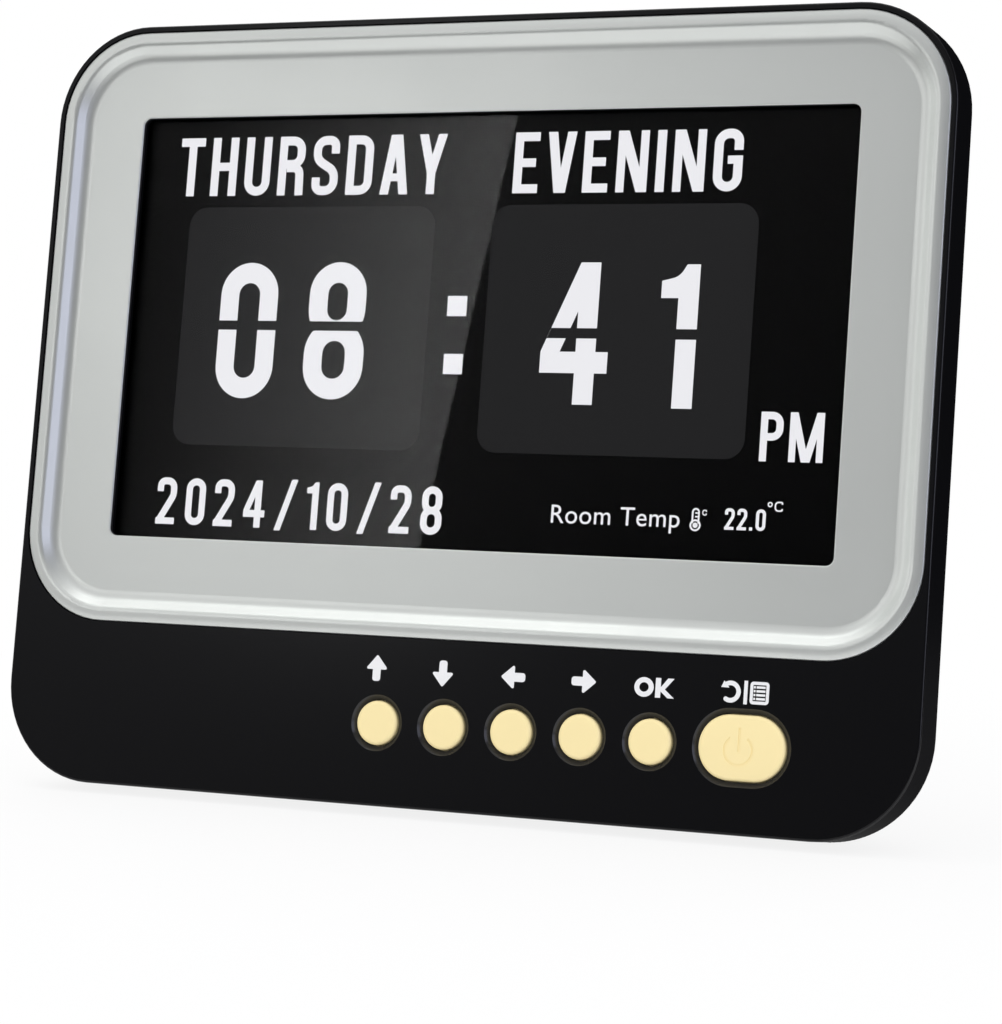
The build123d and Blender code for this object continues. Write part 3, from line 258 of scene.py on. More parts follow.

# %% [markdown]
# ## Silver paint on the bezel
#
# The bezel is a plastic moulding sprayed with silver paint. The flakes lie nearly flat, so it mirrors
# like a rough metal, and each flake tips a little, which gives a fine sparkle. The clear binder between
# the flakes scatters some light, so the metal share is 0.8. The inner wall round the screen, from
# DEEP_WALL_DEPTH behind the face, is drawn dark and without metal, which the eye sees as a thin dark
# line.

# %% Silver paint
DEEP_WALL_DEPTH = 2.5
PAINT, DEEP_WALL_DARK = "#E5E8E5", "#1B1B1C"
PAINT_METAL = 0.8
silver_paint, tree, shader = surface("sprayed_silver_paint", PAINT, 0.42, Metallic=PAINT_METAL)
grain(tree, shader, 0.12, 0.0006)
mottle(tree, shader, 25.0, 0.40, 0.44)
# From this depth behind the face, the inner wall round the screen is drawn dark and without metal.
deep_wall_edge = FACE_FOOT.dot(OUT) - DEEP_WALL_DEPTH * MM
deep_wall = maths(tree, "LESS_THAN", {0: along_out(tree, "Object")}, b=deep_wall_edge)
metal = node(tree, "ShaderNodeMix", {0: deep_wall}, inputs={2: PAINT_METAL, 3: 0.0})
tree.links.new(metal.outputs[0], shader.inputs["Metallic"])
two_tone(tree, shader, deep_wall, PAINT, DEEP_WALL_DARK)

# %% [markdown]
# ## Display glass, lens and lit picture
#
# The lens is a clear moulded cover with a coating against reflections, so it needs a low index: it
# mirrors the lamps only faintly. The picture behind it is light that leaves the display's surface, and
# it could be a texture, but real shapes stay sharp at any distance.

# %% Glass and light
lens_clear, tree, shader = surface(
    "coated_clear_acrylic", "#FFFFFF", 0.0, Transmission_Weight=1.0, IOR=1.15
)
cell_black, tree, shader = surface("laminated_display_glass", "#050506", 0.25, Specular_IOR_Level=0.02)
mottle(tree, shader, 20.0, 0.22, 0.28)


def lit(name, code, strength=1.0):
    """Pixels that are lit in one colour."""
    light = {"Emission_Color": colour(code), "Emission_Strength": strength}
    return surface(name, "#000000", 0.5, Specular_IOR_Level=0.0, **light)[0]


lit_white = lit("lit_white_pixels", "#F2F2F6", 0.95)
lit_tile = lit("lit_dark_grey_pixels", "#212122")
ink_white, tree, shader = surface("screen_printed_white_ink", "#EDEDEE", 0.5)

# %% [markdown]
# ## Metals, boards and the rest inside
#
# These show through the sockets and slots and when the clock is taken apart, so each gets the look of
# the real thing: plated steel is a little uneven, solder mask is glossy and lets the copper's tone
# through, drawn cans are bright, film and cable are smooth, paper and ferrite are dull.

# %% Inner materials
steel_zinc, tree, shader = surface("zinc_plated_steel", "#B9BABB", 0.28, Metallic=1.0)
mottle(tree, shader, 4.0, 0.22, 0.36)
board_green, tree, shader = surface("green_solder_mask", "#1F6B3A", 0.3)
mottle(tree, shader, 5.0, 0.25, 0.35)
can_bright, tree, shader = surface("drawn_aluminium_can", "#D9DADC", 0.22, Metallic=1.0)
film_amber, tree, shader = surface("polyimide_film", "#B5762A", 0.3)
cable_white, tree, shader = surface("laminated_flat_cable", "#E9E9E6", 0.4)
ferrite_grey, tree, shader = surface("sintered_ferrite", "#3C3D40", 0.6)
grain(tree, shader, 0.4, 0.01)
paper_black, tree, shader = surface("pressed_paper_cone", "#1D1D1D", 0.85)
grain(tree, shader, 0.6, 0.03)
lead_red, tree, shader = surface("insulated_red_lead", "#8E1D1D", 0.4)
nylon_natural, tree, shader = surface("turned_natural_nylon", "#D8D6CC", 0.5)

# %% [markdown]
# ## Dressing the assembly
#
# Each piece of the frame names its own material slot, so one table ties slots to materials.

# %% Put the materials on the frame's pieces
finishes = {
    "housing_black": abs_black,
    "bezel_silver": silver_paint,
    "lens_clear": lens_clear,
    "display_glass": cell_black,
    "tray_white": tray_white,
    "tape_black": rubber_black,
    "steel_screw": steel_zinc,
    "steel_sheet": steel_zinc,
    "cap_cream": cap_cream,
    "switch_black": switch_black,
    "board_green": board_green,
    "chip_black": switch_black,
    "can_aluminium": can_bright,
    "ribbon_amber": film_amber,
    "cable_white": cable_white,
    "cell_steel": can_bright,
    "magnet_ferrite": ferrite_grey,
    "cone_paper": paper_black,
    "lead_red": lead_red,
    "sensor_epoxy": switch_black,
    "foot_rubber": rubber_black,
    "washer_nylon": nylon_natural,
}
slot_of = {s["node"]: s["material_slot"] for s in frame["record"]["subparts"]}
for name, piece in nodes.items():
    piece.data.materials.clear()
    piece.data.materials.append(finishes[slot_of[name]])
print("materials", len(finishes), "nodes dressed", len(nodes))

# %% [markdown]
# ## Drawing flat shapes
#
# Lit characters and printed marks are flat shapes made of strokes. Each stroke is a polygon: a bar, a
# slanted bar or a band along a path with rounded corners. A constrained triangulation unites the
# strokes of a mark into one sheet without overlaps, which is then given a hair's thickness.


# %% Strokes
ARC_STEPS = 10
SAME = 1e-4
TINY = 1e-5
SHEET_THICK = 0.05


def rounded(points, radii, closed=False):
    """The path through the points, with its corners rounded to the given radii."""
    count = len(points)
    if not isinstance(radii, (list, tuple)):
        radii = [radii] * count
    path = []
    for i, corner in enumerate(points):
        if not closed and i in (0, count - 1) or radii[i] == 0:
            path.append(tuple(corner))
            continue
        corner = Vector(corner)
        before = Vector(points[i - 1]) - corner
        after = Vector(points[(i + 1) % count]) - corner
        half = before.angle(after) / 2
        wanted = radii[i] / max(1e-6, abs(sin(half) / cos(half)))
        reach = min(wanted, before.length / 2, after.length / 2)
        a = corner + before.normalized() * reach
        b = corner + after.normalized() * reach
        inwards = (before.normalized() + after.normalized()).normalized()
        middle = corner + inwards * (reach / cos(half))
        start = atan2(a.y - middle.y, a.x - middle.x)
        sweep = atan2(b.y - middle.y, b.x - middle.x) - start
        sweep = (sweep + pi) % tau - pi
        radius = (a - middle).length
        for k in range(ARC_STEPS + 1):
            t = start + sweep * k / ARC_STEPS
            path.append((middle.x + radius * cos(t), middle.y + radius * sin(t)))
    steps = [(Vector(p) - Vector(q)).length for p, q in zip(path[1:], path)]
    apart = path[:1] + [p for p, step in zip(path[1:], steps) if step > SAME]
    if closed and (Vector(apart[0]) - Vector(apart[-1])).length <= SAME:
        apart.pop()
    return apart


def band(path, width, closed=False):
    """A stroke of that width along a path, as one four-sided polygon for each step."""
    pieces, sides = [], []
    points = [Vector(p) for p in path]
    count = len(points)
    for i, here in enumerate(points):
        before = points[i - 1] if i > 0 or closed else here
        after = points[(i + 1) % count] if i < count - 1 or closed else here
        one = (here - before).normalized() if (here - before).length > 1e-9 else None
        two = (after - here).normalized() if (after - here).length > 1e-9 else None
        one, two = one or two, two or one
        across = Vector((-(one + two).y, (one + two).x)).normalized()
        stretch = width / 2 / max(0.3, across.dot(Vector((-one.y, one.x))))
        sides.append((here + across * stretch, here - across * stretch))
    last = count if closed else count - 1
    for i in range(last):
        (a, b), (c, d) = sides[i], sides[(i + 1) % count]
        pieces.append([tuple(a), tuple(c), tuple(d), tuple(b)])
    return pieces


def bar(left, low, right, high):
    """An upright rectangle."""
    return [[(left, low), (right, low), (right, high), (left, high)]]


def slant(low_left, high_left, width, low=0.0, high=1.0):
    """A slanted bar with level ends."""
    return [[(low_left, low), (low_left + width, low), (high_left + width, high), (high_left, high)]]


def holds(polygon, x, y):
    """Whether a polygon holds a point."""
    inside = False
    for (x0, y0), (x1, y1) in zip(polygon, polygon[1:] + polygon[:1]):
        if (y0 > y) != (y1 > y) and x < x0 + (y - y0) / (y1 - y0) * (x1 - x0):
            inside = not inside
    return inside


def flat_mark(name, polygons, material, body, matrix, thick=SHEET_THICK):
    """Unite polygons into a flat solid in millimetres, lay it down and let it ride on a body."""
    points, faces = [], []
    for polygon in polygons:
        area = sum(p[0] * q[1] - q[0] * p[1] for p, q in zip(polygon, polygon[1:] + polygon[:1]))
        if abs(area) < TINY:
            continue
        ordered = polygon if area > 0 else polygon[::-1]
        faces.append(list(range(len(points), len(points) + len(ordered))))
        points += [Vector(p) for p in ordered]
    verts, _, tris, *_ = delaunay_2d_cdt(points, [], faces, 0, TINY)
    mesh = bmesh.new()
    made = [mesh.verts.new((v[0], v[1], 0)) for v in verts]
    for tri in tris:
        middle = sum((verts[i] for i in tri), Vector((0, 0))) / 3
        if any(holds(polygon, *middle) for polygon in polygons):
            mesh.faces.new([made[i] for i in tri])
    bmesh.ops.delete(mesh, geom=[v for v in mesh.verts if not v.link_faces], context="VERTS")
    bmesh.ops.dissolve_limit(mesh, angle_limit=radians(0.1), verts=mesh.verts, edges=mesh.edges)
    bmesh.ops.recalc_face_normals(mesh, faces=mesh.faces)
    if sum(f.normal.z for f in mesh.faces) < 0:
        bmesh.ops.reverse_faces(mesh, faces=mesh.faces)
    top = bmesh.ops.extrude_face_region(mesh, geom=mesh.faces[:])
    for vert in [g for g in top["geom"] if isinstance(g, bmesh.types.BMVert)]:
        vert.co.z += thick
    bmesh.ops.recalc_face_normals(mesh, faces=mesh.faces)
    bmesh.ops.triangulate(mesh, faces=mesh.faces)
    data = bpy.data.meshes.new(name)
    mesh.to_mesh(data)
    mesh.free()
    data.transform(matrix)
    data.materials.append(material)
    piece = add(name, data)
    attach(piece, body)
    return piece


# %% [markdown]
# ## Narrow capitals and figures
#
# The display's capitals and figures are one narrow alphabet used at five sizes. A font file could give
# it, but a display's letters are plain strokes of one width, so each is drawn here once, with a height
# of 1, and stays sharp at every size. The label beside the temperature has small letters too, so it is
# set in Blender's own plain face.

# %% Strokes that the characters share
STROKE, THIN, HEAVY = 0.15, 0.14, 0.16
HALF = STROKE / 2
TOP = 1 - HALF
FOOT, HEAD = 0.145, 0.855
WAIST_LOW, WAIST_HIGH = 0.43, 0.57
WIDTHS = dict(A=0.515, D=0.483, E=0.437, G=0.485, H=0.494, I=0.153, M=0.72, N=0.532)
WIDTHS.update(P=0.48, R=0.49, S=0.487, T=0.465, U=0.485, V=0.50, Y=0.51)
WIDTHS.update({"0": 0.475, "1": 0.278, "2": 0.478, "4": 0.51, "8": 0.485, "/": 0.505, ".": 0.17})


def bowl(width, low, high, turn):
    """The rounded right side of D, P or R, open to the left."""
    right = width - HALF
    return band(rounded([(0.0, high), (right, high), (right, low), (0.0, low)], turn), STROKE)


def ring(width, low, high, turn, inset=0.0):
    """A closed loop with rounded corners."""
    left, right = HALF + inset, width - HALF - inset
    corners = [(left, low), (right, low), (right, high), (left, high)]
    return band(rounded(corners, turn, closed=True), STROKE, closed=True)


def letter_s(width):
    """S as one bent stroke."""
    left, right, round_end = HALF, width - HALF, (width - STROKE) / 2
    upper = [(right, 0.70), (right, TOP), (left, TOP), (left, 0.60)]
    lower = [(right, 0.40), (right, HALF), (left, HALF), (left, 0.30)]
    turns = [0, round_end, round_end, 0.2, 0.2, round_end, round_end, 0]
    return band(rounded(upper + lower, turns), STROKE)


def figure_one(width):
    """1 with its flag cut by a hollow curve."""
    stem, tip = width - STROKE, 0.65 * width
    hollow = rounded([(0.0, 0.885), (stem, 0.915), (tip, 1.0)], [0, 0.12, 0])
    return [[(stem, 0), (width, 0), (width, 1), (tip, 1)] + hollow[-2::-1] + [(0, 0.765), (stem, 0.765)]]


def figure_two(width):
    """2 as a bent stroke on a level foot."""
    left, right, round_end = HALF, width - HALF, (width - STROKE) / 2
    bends = [(left, 0.70), (left, TOP), (right, TOP), (right, 0.62), (left + 0.02, 0.10)]
    bend = band(rounded(bends, [0, round_end, round_end, 0.25, 0]), STROKE)
    return bend + bar(0, 0, width - 0.02, THIN)


# %% The characters
def letter(name, w):
    """The polygons of a capital with the width w."""
    right, round_end = w - HALF, (w - STROKE) / 2
    stem = bar(0, 0, STROKE, 1)
    if name == "A":
        legs = slant(0, w / 2 - 0.105, HEAVY) + slant(w - HEAVY, w / 2 - 0.055, HEAVY)
        return legs + bar(0.12, 0.22, w - 0.12, 0.35)
    if name == "D":
        return stem + bowl(w, HALF, TOP, 0.16)
    if name == "E":
        arms = bar(0, 0, w, FOOT) + bar(0, HEAD, w, 1)
        return stem + arms + bar(0, WAIST_LOW, 0.385, WAIST_HIGH)
    if name == "G":
        hook = [(right, 0.66), (right, TOP), (HALF, TOP), (HALF, HALF), (right, HALF), (right, 0.50)]
        return band(rounded(hook, round_end), STROKE) + bar(w - 0.25, 0.44, w, WAIST_HIGH)
    if name == "H":
        return stem + bar(w - STROKE, 0, w, 1) + bar(0, WAIST_LOW, w, WAIST_HIGH)
    if name == "I":
        return bar(0, 0, w, 1)
    if name == "M":
        posts = bar(0, 0, THIN, 1) + bar(w - THIN, 0, w, 1)
        return posts + slant(w / 2 - 0.09, 0, HEAVY) + slant(w / 2 - 0.07, w - HEAVY, HEAVY)
    if name == "N":
        return bar(0, 0, THIN, 1) + bar(w - THIN, 0, w, 1) + slant(w - 0.18, 0, 0.18)
    if name == "P":
        return stem + bowl(w, 0.42 + HALF, TOP, 0.165)
    if name == "R":
        leg = rounded([(0.16, 0.47), (right - 0.015, 0.47), (right, 0.0)], [0, 0.12, 0])
        return stem + bowl(w, 0.45 + HALF, TOP, 0.16) + band(leg, STROKE)
    if name == "S":
        return letter_s(w)
    if name == "T":
        return bar(0, HEAD, w, 1) + bar(0.158, 0, 0.308, 1)
    if name == "U":
        return band(rounded([(HALF, 1), (HALF, HALF), (right, HALF), (right, 1)], round_end), STROKE)
    if name == "V":
        return slant(w / 2 - 0.10, 0, HEAVY) + slant(w / 2 - 0.06, w - HEAVY, HEAVY)
    fork, split_up = w / 2 - HALF - 0.005, 0.36
    arms = slant(fork, 0, HEAVY, split_up) + slant(fork, w - HEAVY, HEAVY, split_up)
    return arms + bar(w / 2 - HALF, 0, w / 2 + HALF, 0.45)


def figure(name, w):
    """The polygons of a figure, a slash or a point with the width w."""
    if name == "0":
        return ring(w, HALF, TOP, (w - STROKE) / 2)
    if name == "1":
        return figure_one(w)
    if name == "2":
        return figure_two(w)
    if name == "4":
        stem, level_low, level_high = 0.266, 0.22, 0.37
        arms = slant(0, stem, FOOT, level_high) + bar(0, level_low, w, level_high)
        return arms + bar(stem, 0, stem + STROKE, 1)
    if name == "8":
        return ring(w, HALF, 0.5, 0.165) + ring(w, 0.5, TOP, 0.165, 0.012)
    if name == "/":
        return slant(0, w - FOOT, FOOT, -0.04, 1.04)
    return bar(0, 0, STROKE, STROKE)


def write(text, height, gap, left=0.0, low=0.0):
    """The polygons of a line of characters, and where it ends."""
    polygons = []
    for name in text:
        width = WIDTHS[name]
        draw = letter if name.isalpha() else figure
        for shape in draw(name, width):
            polygons.append([(left + x * height, low + y * height) for x, y in shape])
        left += width * height + gap
    return polygons, left - gap


print("characters", len(WIDTHS))

# %% [markdown]
# ## The lit picture
#
# Places are millimetres from the middle of the screen, on the display's own front. The hour and the
# minutes stand on dark grey tiles and are cut level through the middle like the leaves of a flap
# clock. The day, the part of the day and the label are generic words in the real ones' places.

# %% The picture
CELL_FRONT = 5.7
TILE_TURN = 3.9
TILE_RISE, LIT_RISE = 0.01, 0.05
screen = on_face(0, SCREEN_UP, CELL_FRONT)


def raised(height):
    """The drawing plane of the picture, so far in front of the display's glass."""
    return screen @ Matrix.Translation((0, 0, height))


def shown(name, polygons, material=lit_white, height=LIT_RISE):
    """A lit shape of the picture."""
    return flat_mark(name, polygons, material, "clock", raised(height))


def tile(left, low, right, high):
    """One tile's outline."""
    corners = [(left, low), (right, low), (right, high), (left, high)]
    return [rounded(corners, TILE_TURN, closed=True)]


HOURS_TILE = (-66.6, -23.8, -10.6, 25.0)
MINUTES_TILE = (2.0, -23.7, 57.5, 25.1)
shown("tile_hours", tile(*HOURS_TILE), lit_tile, TILE_RISE)
shown("tile_minutes", tile(*MINUTES_TILE), lit_tile, TILE_RISE)


def centred(text, gap, middle):
    """A word of the upper line about its middle."""
    height, low = 12.1, 27.4
    _, end = write(text, height, gap)
    return write(text, height, gap, middle - end / 2, low)[0]


shown("word_day", centred("THURSDAY", 1.9, -39.6))
shown("word_part_of_day", centred("EVENING", 1.75, 29.6))
shown("word_pm", write("PM", 9.35, 1.3, 60.55, -23.9)[0])


def date_line():
    """Year, month and day, each character where the photograph shows it."""
    height, low = 9.5, -40.2
    starts = (-68.9, -62.1, -55.45, -48.6, -41.4, -34.4, -29.7, -22.75, -15.7, -8.9)
    polygons = []
    for name, left in zip("2024/10/28", starts):
        polygons += write(name, height, 0, left, low)[0]
    return polygons


shown("date", date_line())


def split(polygons, low, high):
    """Cut a level gap out of polygons: what lies below it and what lies above it."""
    kept = []
    for polygon in polygons:
        for edge, side in ((low, -1), (high, 1)):
            clipped = []
            for p, q in zip(polygon, polygon[1:] + polygon[:1]):
                inside_p = (p[1] - edge) * side >= 0
                inside_q = (q[1] - edge) * side >= 0
                if inside_p:
                    clipped.append(p)
                if inside_p != inside_q:
                    t = (edge - p[1]) / (q[1] - p[1])
                    clipped.append((p[0] + (q[0] - p[0]) * t, edge))
            if len(clipped) > 2:
                kept.append(clipped)
    return kept


FIGURE = 27.7
hours = write("0", FIGURE, 0, -57.75, -14.15)[0] + write("8", FIGURE, 0, -37.65, -14.0)[0]
minutes = write("4", FIGURE, 0, 14.3, -14.0)[0] + write("1", FIGURE, 0, 38.7, -14.35)[0]
shown("figures_hours", split(hours, -0.2, 1.7))
shown("figures_minutes", split(minutes, -1.15, 0.87))
shown("colon", bar(-6.45, 3.0, -2.25, 7.0) + bar(-6.4, -8.5, -2.25, -4.5))
shown("temperature", write("22.0", 4.05, 0.55, 54.55, -36.95)[0])


# %% Small signs beside the temperature
def circle(x, y, radius, steps=24):
    """Points of a circle."""
    return [(x + radius * cos(tau * k / steps), y + radius * sin(tau * k / steps)) for k in range(steps)]


def thermometer(x, low, high):
    """A glass tube outline with its bulb and three marks."""
    bulb, tube, line = 0.95, 0.62, 0.34
    shoulder = low + 1.3
    glass = [(x - tube, shoulder), (x - tube, high), (x + tube, high), (x + tube, shoulder)]
    shapes = band(rounded(glass, tube), line)
    shapes += band(circle(x, low + bulb, bulb), line, closed=True)
    shapes += [circle(x, low + bulb, 0.5)]
    for step in range(3):
        shapes += bar(x - 0.1, high - 0.9 - 0.7 * step, x + tube, high - 0.65 - 0.7 * step)
    return shapes


def letter_c(left, low, right, high, lip, turn, line):
    """A C as one bent stroke, whose ends are turned in by the lip."""
    back = [(right, high), (left, high), (left, low), (right, low)]
    return band(rounded([(right, high - lip)] + back + [(right, low + lip)], turn), line)


small = thermometer(48.7, -37.3, -33.25)
small += letter_c(50.1, -34.35, 50.8, -33.45, 0.3, 0.35, 0.2)
small += band(circle(63.4, -31.95, 0.38), 0.24, closed=True)
small += letter_c(64.45, -33.1, 65.8, -31.5, 0.4, 0.6, 0.28)
shown("small_signs", small)


def plain_text(name, text, size, left, low):
    """A line in the plain built-in face, made a mesh and laid on the display."""
    curve = bpy.data.curves.new(name, "FONT")
    curve.body = text
    curve.size = size
    curve.extrude = 0.02
    curve.resolution_u = 6
    curve.space_character = 1.05
    holder = add(name + "_curve", curve)
    data = result_mesh(holder)
    bpy.data.objects.remove(holder)
    data.transform(raised(LIT_RISE) @ Matrix.Translation((left, low, 0)))
    data.materials.clear()
    data.materials.append(lit_white)
    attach(add(name, data), "clock")


plain_text("word_room", "Room Temp", 5.1, 18.6, -36.9)
print("figures", FIGURE, "mm high on a tile", round(HOURS_TILE[2] - HOURS_TILE[0], 1), "mm wide")

# %% [markdown]
# ## Printed marks over the buttons
#
# The marks are screen printed in white ink on the chin: four block arrows, OK, and a return arrow with
# a page. They could be a mask in the plastic's shader, but a print is a thin layer with crisp edges, so
# each is a sheet of ink 0.03 mm thick.

# %% Arrows and OK
MARK_UP = 26.4
MARK_TURN = 0.28
INK_THICK = 0.03
ARROW_HALF, ARROW_TIP, SHAFT_HALF = 2.45, 2.75, 0.85
ARROWS = (
    ("mark_up", 0, -13.07),
    ("mark_down", pi, 1.15),
    ("mark_left", pi / 2, 16.16),
    ("mark_right", -pi / 2, 30.44),
)


def mark(name, polygons, across, up=MARK_UP):
    """A printed mark on the housing's face."""
    return flat_mark(name, polygons, ink_white, "clock", on_face(across, up, 0.0), INK_THICK)


def turned(polygons, angle):
    """Polygons turned about their origin."""
    c, s = round(cos(angle)), round(sin(angle))
    return [[(c * x - s * y, s * x + c * y) for x, y in polygon] for polygon in polygons]


def arrow():
    """A block arrow that points up."""
    head = [(-ARROW_HALF, -0.1), (ARROW_HALF, -0.1), (0.0, ARROW_TIP)]
    shaft = [(-SHAFT_HALF, -2.35), (SHAFT_HALF, -2.35), (SHAFT_HALF, 0.9), (-SHAFT_HALF, 0.9)]
    return [rounded(head, MARK_TURN, closed=True), rounded(shaft, 2 * MARK_TURN, closed=True)]


for name, angle, across in ARROWS:
    mark(name, turned(arrow(), angle), across)

letter_o = band(circle(-2.0, 0, 1.45), 1.0, closed=True)
upper_arm = [(1.0, -0.35), (2.75, 1.95), (4.0, 1.95), (1.9, -0.6)]
lower_arm = [(1.5, 0.35), (4.1, -1.95), (2.8, -1.95), (0.9, -0.3)]
letter_k = bar(0.3, -1.95, 1.35, 1.95) + [upper_arm, lower_arm]
flatter = [[(x, y * 0.94) for x, y in polygon] for polygon in letter_o + letter_k]
mark("mark_ok", flatter, 44.84, MARK_UP - 0.33)


# %% Return arrow and page
def arc(x, y, radius, start, end, steps=24):
    """Points of an arc between two angles in degrees."""
    angles = [radians(start + (end - start) * k / steps) for k in range(steps + 1)]
    return [(x + radius * cos(t), y + radius * sin(t)) for t in angles]


BACK_X, BACK_RADIUS, BACK_SWEEP, BACK_LINE = -2.84, 1.6, 122, 0.85
PAGE_X, PAGE_HALF_WIDTH, PAGE_HALF_HEIGHT = 2.85, 1.56, 1.79
ROW_PITCH, ROW_HALF = 0.71, 0.21
back = band(arc(BACK_X, 0, BACK_RADIUS, -BACK_SWEEP, BACK_SWEEP), BACK_LINE)
tail = radians(-BACK_SWEEP)
back.append(arc(BACK_X + BACK_RADIUS * cos(tail), BACK_RADIUS * sin(tail), BACK_LINE / 2, 0, 345))
back.append([(BACK_X - 1.29, 1.99), (BACK_X - 1.86, 0.75), (BACK_X - 0.24, 0.72)])
page = [
    (-PAGE_HALF_WIDTH, -PAGE_HALF_HEIGHT),
    (PAGE_HALF_WIDTH, -PAGE_HALF_HEIGHT),
    (PAGE_HALF_WIDTH, PAGE_HALF_HEIGHT),
    (-PAGE_HALF_WIDTH, PAGE_HALF_HEIGHT),
]
menu = band(rounded(page, 0.35, closed=True), 0.58, closed=True)
for row in (-1.5, -0.5, 0.5, 1.5):
    low, high = ROW_PITCH * row - ROW_HALF, ROW_PITCH * row + ROW_HALF
    menu += bar(-1.15, low, -0.8, high)
    menu += bar(-0.62, low, 1.12, high)
menu = [[(x + PAGE_X, y) for x, y in polygon] for polygon in menu]
between = bar(-0.2, -2.17, 0.5, 2.17)
mark("mark_back_and_menu", back + between + menu, 62.84, MARK_UP - 0.2)
print("marks", len(ARROWS) + 2)

# %% [markdown]
# ## The power button's sunk sign
#
# The wide cap has a power sign sunk into it by the mould: a ring with a gap and a bar. A bump could
# fake it, but its edges would not move with the view, so a merged copy of the cap is cut by the sign's
# own solid. Seen from straight ahead it is nearly invisible and only its edges catch the light, as on
# the real cap.

# %% Cut the sign into the cap
POWER_ACROSS, POWER_UP = 62.8, 16.0
CAP_PROUD = 0.2
SIGN_DEPTH, SIGN_STROKE, SIGN_RADIUS = 0.13, 0.42, 2.75
SIGN_X, SIGN_Y = -0.5, -0.45
SIGN_FROM, SIGN_TO = 128, 412
CUTTER_THICK = 1.0
SMOOTH_BELOW = radians(30)


def merged_copy(name, node_name):
    """A copy of a frame node's mesh with its loose triangles joined."""
    mesh = bmesh.new()
    mesh.from_mesh(nodes[node_name].data)
    bmesh.ops.remove_doubles(mesh, verts=mesh.verts, dist=1e-7)
    data = bpy.data.meshes.new(name)
    mesh.to_mesh(data)
    mesh.free()
    if "custom_normal" in data.attributes:
        data.attributes.remove(data.attributes["custom_normal"])
    return add(name, data)


sign = band(arc(SIGN_X, SIGN_Y, SIGN_RADIUS, SIGN_FROM, SIGN_TO), SIGN_STROKE)
sign += bar(-0.62, -0.7, -0.17, 3.7)
sunk = on_face(POWER_ACROSS, POWER_UP, SIGN_DEPTH - CAP_PROUD)
cutter = flat_mark("power_sign", sign, cap_cream, "button_power", sunk, CUTTER_THICK)
power_cap = merged_copy("power_cap", "button_power")
power_cap.data.materials.append(cap_cream)
cut = power_cap.modifiers.new("sign", "BOOLEAN")
cut.operation = "DIFFERENCE"
cut.object = cutter
cut.solver = "MANIFOLD"
engraved = result_mesh(power_cap)
power_cap.modifiers.clear()
power_cap.data = engraved
for face in engraved.polygons:
    face.use_smooth = face.normal.dot(OUT) < cos(radians(1))
engraved.set_sharp_from_angle(angle=SMOOTH_BELOW)
bpy.data.objects.remove(cutter)
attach(power_cap, "button_power")
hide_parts("button_power")
print("power cap faces", len(engraved.polygons))

# %% [markdown]
# ## Screws of the rear cover
#
# Six pan-head screws with a cross recess hold the rear cover, each turned as far as it happened to
# stop. Six copies by hand would do, but Geometry Nodes build one screw from its sizes and set it on
# every place: a short cylinder cut by a dome, which rounds its rim, two crossed slots taken out of it,
# and a shank that points to the front. Each head ought to lie on its seat in the cover, but HEAD_SUNK
# sets it half a millimetre into the seat.

# %% The screws' node tree
SCREW_SIZES = {
    "Head Radius": 2.7,
    "Head Height": 1.7,
    "Dome Radius": 4.6,
    "Dome Height": 2.2,
    "Shank Radius": 1.4,
    "Shank Length": 7.5,
    "Slot Span": 3.1,
    "Slot Width": 0.7,
    "Slot Depth": 1.25,
}
SCREW_SIDES = 48


